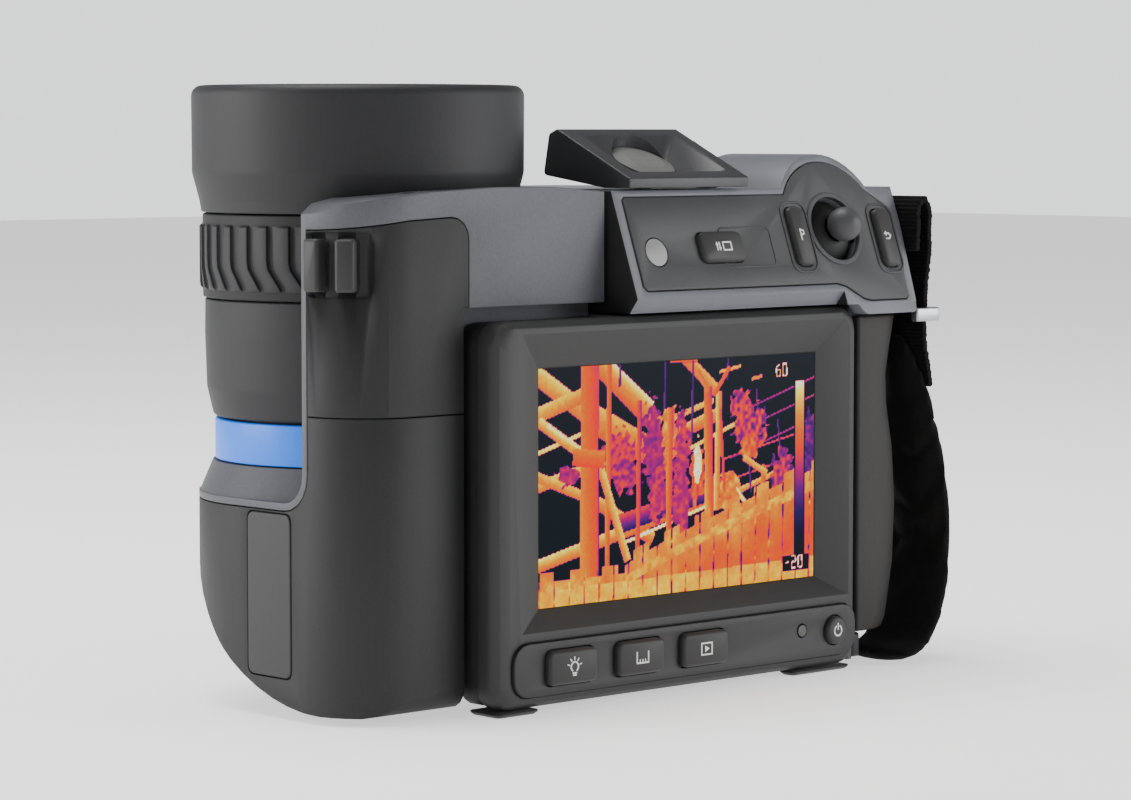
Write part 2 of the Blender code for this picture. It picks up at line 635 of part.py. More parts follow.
def side_key_holes(owner, sink):
    """Cutters for the two side keys, sunk to a depth under the cover's face."""
    holes = []
    for name in SIDE_KEYS:
        hole = key_hole(f"cut_{owner}_{name}", SIDE_KEY_W, SIDE_KEY_H, 0.8 * MM, -sink, 5 * MM)
        holes.append(stand(hole, side_key_place(name)))
    return holes


def detector():
    """Infrared detector with its shutter housing and read-out board in the base drum."""
    low, half = DETECTOR_LOW + 2 * MM, DETECTOR_R
    core = turned("detector_core", [(0, low + 2 * MM), (half, low + 2 * MM),
                                    (half, low + 10 * MM), (half - 3 * MM, low + 12 * MM),
                                    (0, low + 12 * MM)], "dark_metal", 32, (LENS_X, LENS_Y, 0))
    join(core, box("add_core_base", (LENS_X - half, LENS_Y - half, low),
                   (LENS_X + half, LENS_Y + half - 2 * MM, low + 3 * MM)))
    box("detector_board", (LENS_X - 16 * MM, LENS_Y - 20 * MM, DETECTOR_LOW),
        (LENS_X + 16 * MM, LENS_Y + half - 2 * MM, DETECTOR_LOW + 1.6 * MM), "circuit_board")


# ---------------------------------------------------------------- lens

def lens():
    """Interchangeable lens: barrel, blue band, focus ring, hood and two elements."""
    at = (LENS_X, LENS_Y, 0)
    band_seat = BAND_R - SLEEVE_WALL - GAP
    ring_seat = FOCUS_R - SLEEVE_WALL - GAP
    hood_base = FOCUS_TOP + GAP
    turned("lens_barrel", [
        (LENS_BORE_R, STUB_LOW), (STUB_R, STUB_LOW), (STUB_R, COLLAR_TOP + GAP),
        (band_seat, COLLAR_TOP + GAP), (band_seat, BAND_TOP + GAP), (BARREL_R - 1.5 * MM, BARREL_LOW),
        (BARREL_R - 0.6 * MM, BARREL_LOW + 3 * MM), (BARREL_R, BARREL_LOW + 15 * MM),
        (BARREL_R, FOCUS_LOW - 2 * MM), (BARREL_R - 0.5 * MM, FOCUS_LOW - GAP),
        (ring_seat, FOCUS_LOW - GAP), (ring_seat, FOCUS_TOP - 0.5 * MM), (LENS_BORE_R + 3 * MM,
                                                               FOCUS_TOP - 0.5 * MM),
        (LENS_BORE_R + 3 * MM, BARREL_LOW), (LENS_BORE_R, BARREL_LOW)], "lens_black", 44, at)
    turned("lens_band", tube(BAND_R - SLEEVE_WALL, BAND_R, BAND_LOW, BAND_TOP), "blue_band", 44, at)
    turned("focus_ring", [
        (FOCUS_R - SLEEVE_WALL, FOCUS_LOW), (FOCUS_R - 0.5 * MM, FOCUS_LOW),
        (FOCUS_R, FOCUS_LOW + 0.7 * MM), (FOCUS_R, FOCUS_TOP - 0.7 * MM),
        (FOCUS_R - 0.5 * MM, FOCUS_TOP), (FOCUS_R - SLEEVE_WALL, FOCUS_TOP)],
        "lens_black", 44, at)
    turned("lens_hood", [
        (LENS_BORE_R + 4 * MM, hood_base), (FOCUS_R - 0.4 * MM, hood_base),
        (FOCUS_R - 0.2 * MM, hood_base + 2.5 * MM), (HOOD_R - 0.5 * MM, HOOD_LOW - 2 * MM),
        (HOOD_R, HOOD_LOW + 1 * MM), (HOOD_R, HOOD_TOP - 3 * MM),
        (HOOD_R - 0.8 * MM, HOOD_TOP - 0.9 * MM), (HOOD_R - 2.6 * MM, HOOD_TOP),
        (HOOD_R - 4 * MM, HOOD_TOP), (HOOD_R - 4.6 * MM, HOOD_TOP - 1 * MM),
        (LENS_BORE_R + 6 * MM, HOOD_LOW), (LENS_BORE_R + 6 * MM, HOOD_LOW - 2 * MM),
        (LENS_BORE_R + 4 * MM, HOOD_LOW - 2 * MM)], "lens_black", 44, at)
    front_r = LENS_BORE_R + 4 * MM - GAP
    dome = [(front_r * math.cos(a), HOOD_LOW - 5 * MM + 4 * MM * math.sin(a))
            for a in (0, 0.5, 0.9, 1.25)]
    turned("front_element", [(0, HOOD_LOW - 8 * MM), (front_r, HOOD_LOW - 8 * MM), *dome,
                             (0, HOOD_LOW - 1 * MM)], "germanium", 36, at)
    rear_r = LENS_BORE_R - GAP
    turned("rear_element", [(0, 60 * MM), (rear_r, 60 * MM), (rear_r, 64 * MM),
                            (rear_r * 0.6, 66 * MM), (0, 66.6 * MM)], "germanium", 36, at)


# ---------------------------------------------------------------- main body

def body_plan(inset=0.0, near=None):
    """Main housing seen from above."""
    near = TRAY_BACK + GAP if near is None else near
    left, right = BODY_LEFT + inset, BODY_RIGHT - inset
    return rounded([(left, near, 0), (BEZEL_X1 + GAP + inset, near, 0),
                    (BEZEL_X1 + GAP + inset, inset, 0), (right, inset, 9 * MM - inset),
                    (right, GRIP_FAR - inset, 14 * MM - inset),
                    (HUB_RIGHT + 8 * MM, GRIP_FAR - inset, 6 * MM),
                    (HUB_RIGHT - inset, HUB_FAR - inset, 6 * MM),
                    (left, HUB_FAR - inset, 5 * MM - inset)], 4)


def body_solid(name, inset, low, high, look=None):
    """The main housing's outer shape, or the same shape drawn in."""
    solid = prism(name, "Z", body_plan(inset), low, high, look)
    side = [(-FAR, low)] + arc(HUB_FAR - BODY_FOOT_R, BODY_LOW + BODY_FOOT_R,
                               BODY_FOOT_R - inset, 270, 360, 7)
    side += [(HUB_FAR - inset, high + MM), (-FAR, high + MM)]
    side[0] = (-FAR, BODY_LOW + inset)
    return keep_inside(solid, prism(f"keep_side_{name}", "X", side, -FAR, FAR))


def main_housing():
    """Cast housing, open towards the display and at the top."""
    housing = body_solid("main_housing", 0.0, BODY_LOW, BODY_TOP, "grey_shell")
    cavity = body_solid("cut_cavity", WALL, BODY_LOW + WALL, BODY_TOP + 10 * MM)
    opening = box("cut_near_opening", (BODY_LEFT + WALL, -FAR, BODY_LOW + WALL),
                  (BEZEL_X1 - WALL, TRAY_BACK + GAP + WALL + MM, BODY_TOP + 10 * MM))
    step = box("cut_step", (STEP_X, -FAR, -FAR), (FAR, FAR, STEP_Z))
    near, far, side = TRAY_BACK + GAP, GRIP_FAR - 10 * MM, BEZEL_X1 + GAP
    floor = prism("add_step_floor", "Z", [
        (side, MM), (BODY_RIGHT - 9 * MM, MM), (BODY_RIGHT - MM, 9 * MM),
        (BODY_RIGHT - MM, GRIP_FAR - 14 * MM), (BODY_RIGHT - 14 * MM, GRIP_FAR - MM),
        (side, GRIP_FAR - MM)], STEP_Z, STEP_Z + WALL)
    wall = prism("add_step_wall", "Z", [(STEP_X - WALL, near), (side, near), (side, MM),
                                        (STEP_X, MM), (STEP_X, far), (STEP_X - WALL, far)],
                 BODY_LOW + MM, STEP_Z + WALL)
    hub = turned("cut_hub_seat", disc(HUB_R + GAP, -10 * MM, 12 * MM), None, 48,
                 (BODY_LEFT, HINGE_Y, HINGE_Z), TO_X)
    battery = box("cut_battery", (BATTERY_X - GAP, BATTERY_Y - GAP, -FAR),
                  (BATTERY_X + BATTERY_W + GAP, BATTERY_Y + BATTERY_D + GAP, 20 * MM))
    bush = turned("cut_bush", disc(BUSH_R + GAP, -FAR, 20 * MM), None, 24, (BUSH_X, BUSH_Y, 0))
    cut(housing, cavity, opening)
    join(housing, floor, wall)
    return cut(housing, step, hub, battery, bush, latch_slot("cut_latch"), door_seat(),
               *loop_slots("housing"))


def latch_place():
    """Low corner of the battery latch, beside the battery."""
    return Vector((BATTERY_X + BATTERY_W + 1.6 * MM, BATTERY_Y + BATTERY_D / 2, BODY_LOW))


def latch_slot(name):
    """Cutter that leaves the latch its travel."""
    low = latch_place()
    return box(name, (low.x - GAP, low.y - LATCH_D / 2 - GAP, -FAR),
               (low.x + LATCH_W - 3 * MM + LATCH_TRAVEL + GAP, low.y + LATCH_D / 2 + GAP, 6 * MM))


def underside():
    """Tripod bush, battery, latch and rubber feet."""
    turned("tripod_bush", [(THREAD_R, BODY_LOW), (BUSH_R, BODY_LOW), (BUSH_R, BODY_LOW + BUSH_H),
                           (THREAD_R, BODY_LOW + BUSH_H)], "bright_metal", 24,
           (BUSH_X, BUSH_Y, 0))
    box("battery", (BATTERY_X, BATTERY_Y, BODY_LOW + 0.2 * MM),
        (BATTERY_X + BATTERY_W, BATTERY_Y + BATTERY_D, BODY_LOW + BATTERY_H), "dark_cover",
        1.2 * MM, 2)
    low = latch_place()
    box("battery_latch", (low.x, low.y - LATCH_D / 2, low.z - 0.4 * MM),
        (low.x + LATCH_W - 3 * MM, low.y + LATCH_D / 2, low.z + WALL + 0.8 * MM), "key_rubber",
        0.5 * MM, 1)
    near = (-BEZEL_PROUD + MM, TRAY_BACK + 3 * MM)
    feet = {
        "foot_near_left": (BEZEL_X0 + 1.5 * MM, near[0], BEZEL_X0 + 15 * MM, near[1], BEZEL_Z0),
        "foot_near_right": (BEZEL_X1 - 23 * MM, near[0], BEZEL_X1 - 1.5 * MM, BEZEL_BACK, BEZEL_Z0),
        "foot_far_left": (BODY_LEFT + 4 * MM, HUB_FAR - 34 * MM, BODY_LEFT + 18 * MM,
                          HUB_FAR - 23 * MM, BODY_LOW),
        "foot_far_right": (STEP_X - 12 * MM, GRIP_FAR - 18 * MM, STEP_X - 1 * MM,
                           GRIP_FAR - 8 * MM, BODY_LOW),
    }
    for name, (x0, y0, x1, y1, over) in feet.items():
        top = over - GAP
        tread = 0.9 * MM
        loft(name, [along("Z", rectangle(x0 + tread, y0 + tread, x1 - tread, y1 - tread, MM), 0),
                    along("Z", rectangle(x0, y0, x1, y1, 1.6 * MM), 0.6 * top),
                    along("Z", rectangle(x0, y0, x1, y1, 1.6 * MM), top)], "key_rubber")


def hub():
    """Hollow hub that the block turns on, with a flange in each shell."""
    start = hub_flange_x()
    end = BODY_LEFT + WALL + GAP
    profile = [(HUB_BORE_R, start), (HUB_FLANGE_R, start), (HUB_FLANGE_R, start + 2.7 * MM),
               (HUB_R, start + 2.7 * MM), (HUB_R, end), (HUB_FLANGE_R, end),
               (HUB_FLANGE_R, end + 3 * MM), (HUB_BORE_R, end + 3 * MM)]
    turned("tilt_hub", profile, "dark_metal", 32, (0, HINGE_Y, HINGE_Z), TO_X)


def door_seat():
    """Cutter for the socket door on the far face."""
    x0, x1 = DOOR_X - GAP, DOOR_X + DOOR_W + GAP
    z0, z1 = DOOR_Z - GAP, DOOR_Z + DOOR_H + GAP
    return box("cut_door_seat", (x0, HUB_FAR - DOOR_THICK - WALL - MM, z0), (x1, FAR, z1))


def door_and_sockets():
    """Rubber-edged door and the socket block behind it."""
    box("socket_door", (DOOR_X, HUB_FAR - DOOR_THICK, DOOR_Z),
        (DOOR_X + DOOR_W, HUB_FAR, DOOR_Z + DOOR_H), "dark_cover", 0.4 * MM, 1)
    face = HUB_FAR - DOOR_THICK - 0.5 * MM
    sockets = box("socket_block", (DOOR_X + 3 * MM, face - 10 * MM, DOOR_Z + 2 * MM),
                  (DOOR_X + DOOR_W - 2 * MM, face, DOOR_Z + DOOR_H - 2 * MM), "dark_metal")
    for i, width in enumerate((8 * MM, 15 * MM, 11 * MM)):
        low = DOOR_Z + 5 * MM + i * 9 * MM
        cut(sockets, box(f"cut_socket_{i}", (DOOR_X + 6 * MM, face - 7 * MM, low),
                         (DOOR_X + 6 * MM + width, FAR, low + 4 * MM)))


def main_board():
    """Main circuit board standing behind the display."""
    box("main_board", (BODY_LEFT + 6 * MM, TRAY_BACK + 6 * MM, 10 * MM),
        (BEZEL_X1 - 6 * MM, TRAY_BACK + 7.6 * MM, BODY_TOP - 6 * MM), "circuit_board")


# ---------------------------------------------------------------- top cover

def slope_y(z):
    """Where the panel's plane stands at a height."""
    return PANEL_Y + (z - PANEL_Z) * math.tan(TILT)


def top_plan():
    """Top cover seen from above; its near edge lies before the panel."""
    return rounded([(BODY_LEFT, -FAR / 10, 0), (TOP_RIGHT, -FAR / 10, 0),
                    (TOP_RIGHT, GRIP_FAR, 14 * MM), (HUB_RIGHT + 8 * MM, GRIP_FAR, 6 * MM),
                    (HUB_RIGHT, HUB_FAR, 6 * MM), (BODY_LEFT, HUB_FAR, 5 * MM)], 4)


def top_cover():
    """Deck, the panel's frame, the hump round the stick and the chin at the right."""
    low = BODY_TOP + 2 * GAP
    cover = prism("top_cover", "Z", top_plan(), low, DECK_Z, "light_frame")
    stick = on_panel(STICK_X, STICK_S).translation
    hump = arc(STICK_X, stick.z, HUMP_R, -20, 200, 26)
    hump_top = prism("add_hump", "Y", hump, -FAR / 10, HUMP_FAR)
    soften(hump_top, 7 * MM, 3)
    chin_left = STICK_X - 2 * MM
    chin = prism("add_chin", "Y", rounded([
        (chin_left, low + 5 * MM, 0), (chin_left + 6 * MM, low - 2.6 * MM, 3 * MM),
        (TOP_RIGHT - CHIN_LEAN, low - 2.6 * MM, 1.5 * MM), (TOP_RIGHT - MM, low + 5 * MM, 0)], 4),
        -FAR / 10, -2 * MM)
    join(cover, hump_top, chin)
    right_edge = loft("cut_right_lean", [
        along("Y", [(TOP_RIGHT - CHIN_LEAN, low - 9 * MM), (FAR, low - 9 * MM), (FAR, low + 20 * MM),
                    (TOP_RIGHT, low + 20 * MM)], -FAR / 10),
        along("Y", [(TOP_RIGHT - CHIN_LEAN, low - 9 * MM), (FAR, low - 9 * MM), (FAR, low + 20 * MM),
                    (TOP_RIGHT, low + 20 * MM)], 12 * MM)], None)
    slab = box("cut_slope", (-FAR, -FAR, 0), (FAR, FAR, FAR))
    stand(slab, on_panel(0, 0))
    under = prism("cut_undercut", "X", [(-FAR, 0), (-2 * MM, 0), (-2 * MM, low + GAP),
                                        (slope_y(PANEL_Z), PANEL_Z), (-FAR, PANEL_Z)],
                  -FAR, chin_left)
    inside = [(COVER_WALL + slope_y(PANEL_Z) + 2 * MM, low - 20 * MM),
              (COVER_WALL + slope_y(PANEL_Z) + 2 * MM, PANEL_Z),
              (COVER_WALL + slope_y(DECK_Z - WALL), DECK_Z - WALL),
              (GRIP_FAR - WALL, DECK_Z - WALL), (GRIP_FAR - WALL, low - 20 * MM)]
    cavity = prism("cut_top_cavity", "X", inside, BODY_LEFT + WALL, TOP_RIGHT - 2 * WALL)
    sink = prism("cut_panel_seat", "Z", panel_outline(GAP), -PANEL_SINK, FAR)
    stand(sink, on_panel(0, 0))
    trigger = key_hole("cut_trigger", TRIGGER_W, TRIGGER_H, 4 * MM, -9 * MM, FAR)
    stand(trigger, trigger_place())
    return cut(cover, slab, under, right_edge, cavity, sink, trigger, *panel_holes("cover"),
               *loop_slots("cover"))


def panel_outline(spare=0.0):
    """Control panel in its own plane: round over the stick, dropped at the right."""
    left, low, top = 31.2 * MM, 2.1 * MM, 25.8 * MM
    reach = PANEL_ARC_R
    meet = math.degrees(math.asin((top - STICK_S) / reach))
    corners = [(left + MM, low), (STICK_X - 4 * MM, low), (STICK_X - 1 * MM, low - 0.8 * MM),
               (STICK_X + 4.5 * MM, low - 4.2 * MM), (STICK_X + 7 * MM, low - 4.8 * MM),
               (TOP_RIGHT - 5.2 * MM, low - 4.8 * MM), (TOP_RIGHT - 4.2 * MM, low - 4 * MM),
               (TOP_RIGHT - 2.6 * MM, 20.5 * MM), (TOP_RIGHT - 4.2 * MM, 22.6 * MM)]
    corners += arc(STICK_X, STICK_S, reach, 36, 180 - meet, 16)
    corners += [(left + 0.8 * MM, top), (left, top - 0.8 * MM), (left, low + MM)]
    return grown(corners, spare)


def panel_holes(owner):
    """Cutters for what comes through the panel."""
    holes = []
    for name, (x, s, width, height) in PANEL_KEYS.items():
        hole = key_hole(f"cut_{owner}_{name}", width, height, 1.8 * MM, -FAR / 12, FAR / 12)
        holes.append(stand(hole, on_panel(x, s)))
    for name, x, s, radius in (("sensor", SENSOR_X, SENSOR_S, SENSOR_D / 2 + GAP),
                               ("stick", STICK_X, STICK_S, STICK_RECESS_R)):
        hole = turned(f"cut_{owner}_{name}", disc(radius, -FAR / 12, FAR / 12), None, 32)
        holes.append(stand(hole, on_panel(x, s)))
    return holes


def control_panel():
    """Dark panel with its keys, light sensor and stick."""
    panel = prism("control_panel", "Z", panel_outline(), -PANEL_SINK + GAP, PANEL_PROUD, "panel")
    stand(panel, on_panel(0, 0))
    cut(panel, *panel_holes("panel"))
    for name, (x, s, width, height) in PANEL_KEYS.items():
        key = key_cap(name, width, height, 1.8 * MM, -3 * MM, 1.7 * MM, "key_rubber")
        stand(key, on_panel(x, s))
    sensor = turned("light_sensor", disc(SENSOR_D / 2, -2 * MM, PANEL_PROUD), "clear_glass", 24)
    stand(sensor, on_panel(SENSOR_X, SENSOR_S))


def joystick():
    """Rubber boot, gimbal ring, stem and ball cap."""
    seat = STICK_RECESS_R - GAP
    boot = turned("stick_boot", [(3.2 * MM, -4.4 * MM), (seat, -4.4 * MM), (seat, -2.6 * MM),
                                 (6.6 * MM, -1.4 * MM), (5 * MM, -0.2 * MM), (3.2 * MM, 0.4 * MM)],
                  "key_rubber", 32)
    stand(boot, on_panel(STICK_X, STICK_S))
    pivot = on_panel(STICK_X, STICK_S, -STICK_PIVOT)
    ring = turned("stick_gimbal", tube(2.6 * MM, 5 * MM, -MM, MM), "bright_metal", 24)
    stand(ring, pivot)
    stem = turned("stick_stem", disc(STEM_R, -2 * MM, STICK_PIVOT + 4.5 * MM), "dark_metal", 16)
    stand(stem, pivot)
    ball = STICK_PIVOT + 6.2 * MM
    outside = arc(0, ball, BALL_R, -66, 90, 9)[:-1] + [(0, ball + BALL_R)]
    bore = STEM_R + GAP
    cap = turned("stick_ball", [*outside, (0, ball - BALL_R + 4.6 * MM),
                                (bore, ball - BALL_R + 4.6 * MM), (bore, ball - 0.9 * BALL_R)],
                 "key_rubber", 24)
    stand(cap, pivot)


def trigger_place():
    """Matrix of the shutter trigger on the far face, its Z pointing away from the user."""
    middle = Vector((TOP_RIGHT - 24 * MM, GRIP_FAR, TRIGGER_Z))
    return Matrix.Translation(middle) @ Matrix.Rotation(math.radians(180), 4, "Z") @ TO_USER


def trigger():
    """Two-stage shutter trigger under the first finger."""
    cap = key_cap("shutter_trigger", TRIGGER_W, TRIGGER_H, 4 * MM, -6 * MM, 3.4 * MM,
                  "key_rubber", 1.2 * MM)
    stand(cap, trigger_place())


# ---------------------------------------------------------------- viewfinder

def view_axis():
    """Point on the viewfinder's hinge axis, along its lower near edge."""
    drop = 1.4 * MM
    return Vector((VIEW_LEFT + VIEW_W / 2, VIEW_NEAR + drop, DECK_Z + VIEW_LIFT + drop))


def view_place(x, s, down=0.0):
    """Matrix on the viewfinder's sloped face: x right, s up the slope from the near edge."""
    lean = math.radians(VIEW_SLOPE)
    top = DECK_Z + VIEW_LIFT + VIEW_EDGE
    out = Vector((0, -math.sin(lean), math.cos(lean)))
    place = Vector((x, VIEW_NEAR + s * math.cos(lean), top + s * math.sin(lean))) - out * down
    return Matrix.Translation(place) @ Matrix.Rotation(lean, 4, "X")


def viewfinder():
    """Flip-up viewfinder: hood, eye lens, small display, focus wheel and hinge bracket."""
    near, low = VIEW_NEAR, DECK_Z + VIEW_LIFT
    lean = math.radians(VIEW_SLOPE)
    length = (VIEW_DEEP - 5 * MM) / math.cos(lean)
    ridge = view_place(0, length).translation
    side = rounded([(near, low, 1.3 * MM), (near + 9 * MM, low, 0),
                    (near + VIEW_DEEP, low + 3 * MM, MM),
                    (ridge.y + 3 * MM, ridge.z - 1.2 * MM, MM), (ridge.y, ridge.z, 2 * MM),
                    (near, low + VIEW_EDGE, 0.4 * MM)], 3)
    hood = prism("viewfinder_hood", "X", side, VIEW_LEFT, VIEW_LEFT + VIEW_W, "dark_cover")
    rim = 5 * MM
    outer = along("Z", rectangle(rim, rim, VIEW_W - rim, length - rim * 0.8, 2 * MM), 0.1 * MM)
    inner = along("Z", rectangle(rim + 3 * MM, rim + 2 * MM, VIEW_W - rim - 3 * MM,
                                 length - rim - 2 * MM, 2 * MM), -2.6 * MM)
    dish = loft("cut_eye_dish", [outer, inner], None)
    stand(dish, view_place(VIEW_LEFT, 0))
    middle = (VIEW_LEFT + VIEW_W / 2, length * 0.58)
    bore = turned("cut_eye_bore", disc(EYE_R, -4.9 * MM, 5 * MM), None, 32)
    stand(bore, view_place(*middle))
    panel_room = box("cut_view_panel", (-6.3 * MM, -4.8 * MM, -6.1 * MM),
                     (6.3 * MM, 4.8 * MM, -4.5 * MM))
    stand(panel_room, view_place(*middle))
    at = view_axis()
    pin_bore = turned("cut_pin", disc(PIN_R + 0.25 * MM, -VIEW_W / 2 + 2.5 * MM,
                                      VIEW_W / 2 - 2.5 * MM), None, 16, at, TO_X)
    slots = [box(f"cut_lug_{i}", (x - 2.1 * MM, VIEW_NEAR - 5 * MM, DECK_Z - 5 * MM),
                 (x + 2.1 * MM, at.y + 7.5 * MM, at.z + 2.2 * MM))
             for i, x in enumerate(lug_places())]
    cut(hood, dish, bore, panel_room, pin_bore, *slots)
    lens_piece = turned("eye_lens", [(0, -4.6 * MM), (EYE_R - GAP, -4.6 * MM),
                                     (EYE_R - GAP, -3.2 * MM), (EYE_R * 0.6, -2.3 * MM),
                                     (0, -2.0 * MM)], "clear_glass", 32)
    stand(lens_piece, view_place(*middle))
    stand(box("view_panel", (-6 * MM, -4.5 * MM, -5.8 * MM), (6 * MM, 4.5 * MM, -4.9 * MM),
              "dark_metal"), view_place(*middle))
    bracket = turned("viewfinder_bracket", disc(PIN_R, -VIEW_W / 2 + 3 * MM, VIEW_W / 2 - 3 * MM),
                     "dark_metal", 16, at, TO_X)
    for i, x in enumerate(lug_places()):
        lug = rounded([(at.y - 0.9 * MM, at.z - 0.7 * MM, 0), (at.y + 2.6 * MM, DECK_Z + GAP, 0),
                       (at.y + 6.6 * MM, DECK_Z + GAP, 0), (at.y + 0.9 * MM, at.z + 0.7 * MM, 0)])
        join(bracket, prism(f"add_lug_{i}", "X", lug, x - 1.5 * MM, x + 1.5 * MM))
    turned("focus_wheel", disc(4 * MM, 0, 2.4 * MM), "key_rubber", 20,
           wheel_place(), TO_X)


def wheel_place():
    """Where the viewfinder's focus wheel turns, on the hood's right side."""
    return Vector((VIEW_LEFT + VIEW_W + GAP, VIEW_NEAR + 23 * MM, DECK_Z + 8 * MM))


def lug_places():
    """The two hinge lugs, from left to right."""
    return VIEW_LEFT + 9 * MM, VIEW_LEFT + VIEW_W - 9 * MM


# ---------------------------------------------------------------- grip and strap

def grip_outline(reach):
    """The grip's outer outline seen from above, reaching a given way to the right."""
    return rounded([(BEZEL_X1 + 0.8 * MM, -GRIP_SKIN, 0.8 * MM), (reach, -GRIP_SKIN, 13 * MM),
                    (reach, GRIP_FAR + GRIP_SKIN, 15 * MM),
                    (HUB_RIGHT + 15 * MM, GRIP_FAR + GRIP_SKIN, MM),
                    (HUB_RIGHT + 15 * MM, GRIP_FAR - 6 * MM, 0),
                    (BODY_RIGHT - 12 * MM, GRIP_FAR / 2, 0), (BEZEL_X1 + 0.8 * MM, 12 * MM, 0)], 5)


def grip_cover():
    """Rubber cover round the hand side: narrow under the deck, full at the palm."""
    levels = [(GRIP_LOW, 125.2), (GRIP_LOW + 3 * MM, 126.9), (26 * MM, 129.6), (42 * MM, 130.4),
              (56 * MM, 129.2), (67 * MM, 127.0), (75 * MM, 126.6), (82 * MM, 127.9),
              (GRIP_TOP, 129.9)]
    sections = [along("Z", grip_outline(reach * MM), z) for z, reach in levels]
    grip = loft("grip_cover", sections, "grip_rubber")
    core = prism("cut_grip_core", "Z", body_plan(-GAP, 0.0), -FAR, FAR)
    return cut(grip, core, *loop_slots("grip"))


def loop_slots(owner):
    """Room for the strap loop's far arm, in whatever it passes through."""
    far = loop_far()
    return [box(f"cut_{owner}_arm", (BODY_RIGHT - 5 * MM, far - GAP, LOOP_Z - GAP),
                (FAR, far + LOOP_WIRE + GAP, LOOP_Z + LOOP_BAR + GAP))]


def loop_far():
    """Where the loop's far arm starts, past the webbing."""
    return LOOP_NEAR + LOOP_WIRE + WEB_W + 2 * WEB_SPARE


def strap_loop():
    """Bright loop that guides the strap: near arm at the chin, far arm into the housing."""
    near, far, out = LOOP_NEAR, loop_far(), BODY_RIGHT + LOOP_REACH
    start, top = TOP_RIGHT - CHIN_LEAN + GAP, LOOP_Z + LOOP_BAR
    outline = [(start, near), (out - MM, near), (out, near + MM), (out, far + LOOP_WIRE),
               (BODY_RIGHT + GAP, far + LOOP_WIRE), (BODY_RIGHT + GAP, far),
               (out - LOOP_WIRE, far), (out - LOOP_WIRE, near + LOOP_WIRE),
               (start, near + LOOP_WIRE)]
    return prism("strap_loop", "Z", outline, LOOP_Z, top, "bright_metal")


def ribbon(name, path, thick, wide, look):
    """A band that follows a path of (x, z, near edge's y), with its width along Y."""
    sections = []
    for i, (x, z, near) in enumerate(path):
        before = Vector(path[max(i - 1, 0)][:2])
        after = Vector(path[min(i + 1, len(path) - 1)][:2])
        ahead = (after - before).normalized()
        side = Vector((ahead.y, -ahead.x)) * thick / 2
        outer, inner = (x + side.x, z + side.y), (x - side.x, z - side.y)
        sections.append([(outer[0], near, outer[1]), (outer[0], near + wide, outer[1]),
                         (inner[0], near + wide, inner[1]), (inner[0], near, inner[1])])
    return loft(name, sections, look)


def smooth_path(points, count):
    """Evenly spread points on a Catmull-Rom curve through a few chosen ones."""
    knots = [Vector(p) for p in points]
    knots = [2 * knots[0] - knots[1], *knots, 2 * knots[-1] - knots[-2]]
    spans = len(points) - 1
    path = []
    for k in range(count + 1):
        i = min(int(k * spans / count), spans - 1)
        t = k * spans / count - i
        a, b, c, d = knots[i:i + 4]
        path.append(tuple((2 * b + (c - a) * t + (2 * a - 5 * b + 4 * c - d) * t * t
                           + (3 * b - a - 3 * c + d) * t ** 3) / 2))
    return path


def hand_strap():
    """Webbing from the top anchor through the loop, and the hand pad that carries on."""
    x = BODY_RIGHT + LOOP_REACH - LOOP_WIRE - GAP - WEB_THICK / 2
    near = LOOP_NEAR + LOOP_WIRE + WEB_SPARE
    top = DECK_Z - 2.2 * MM
    inner = TOP_RIGHT + 1.3 * MM
    web = [(inner, top - 14 * MM), (inner, top - 8 * MM), (inner + 0.2 * MM, top - 4 * MM),
           (inner + 1.6 * MM, top - 1.5 * MM), (x - 0.2 * MM, top - 1.4 * MM),
           (x + 1.4 * MM, top - 4 * MM), (x + 1.6 * MM, top - 8 * MM),
           (x + 1.4 * MM, top - 16 * MM), (x, LOOP_Z + 6 * MM), (x, LOOP_Z - 5 * MM),
           (x + 2.6 * MM, LOOP_Z - 17 * MM)]
    ribbon("strap_webbing", smooth_path([(*point, near) for point in web], 30), WEB_THICK,
           WEB_W, "webbing")
    edge = STRAP_NEAR
    pad = [(x + 3.2 * MM, LOOP_Z - 18.5 * MM, edge + 2 * MM), (x + 5.6 * MM, 52 * MM, edge),
           (x + 7 * MM, 36 * MM, edge), (x + 5.8 * MM, 20 * MM, edge - 1.5 * MM),
           (x, 9 * MM, edge - 3.5 * MM), (x - 9 * MM, 3.6 * MM, edge - 5 * MM),
           (STEP_X + 4.4 * MM, 3.4 * MM, edge - 5 * MM)]
    ribbon("strap_pad", smooth_path(pad, 20), PAD_THICK, STRAP_W, "soft_pad")


def strap_anchor():
    """Lower anchor under the grip, against the body's side."""
    box("strap_anchor", (STEP_X + GAP, 0, STEP_Z - 6.6 * MM),
        (STEP_X + 3.4 * MM, STRAP_W + STRAP_NEAR, STEP_Z - GAP), "dark_metal", 0.6 * MM, 1)


def pivot(name, point, pieces, base):
    """An empty on a joint's axis that carries the pieces that move with it."""
    axis = bpy.data.objects.new(name, None)
    bpy.context.scene.collection.objects.link(axis)
    axis.location = point
    axis.parent = base
    for piece in pieces:
        piece.location -= Vector(point)
        piece.parent = axis
    return axis


def middle_of_base():
    """Middle of the whole camera's footprint, from the finished shapes."""
    graph = bpy.context.evaluated_depsgraph_get()
    corners = []
    for piece in bpy.data.objects:
        if piece.type == "MESH" and not piece.hide_render:
            done = piece.evaluated_get(graph)
            corners += [done.matrix_world @ vertex.co for vertex in done.data.vertices]
    xs, ys = [c.x for c in corners], [c.y for c in corners]
    return Vector(((min(xs) + max(xs)) / 2, (min(ys) + max(ys)) / 2, 0))


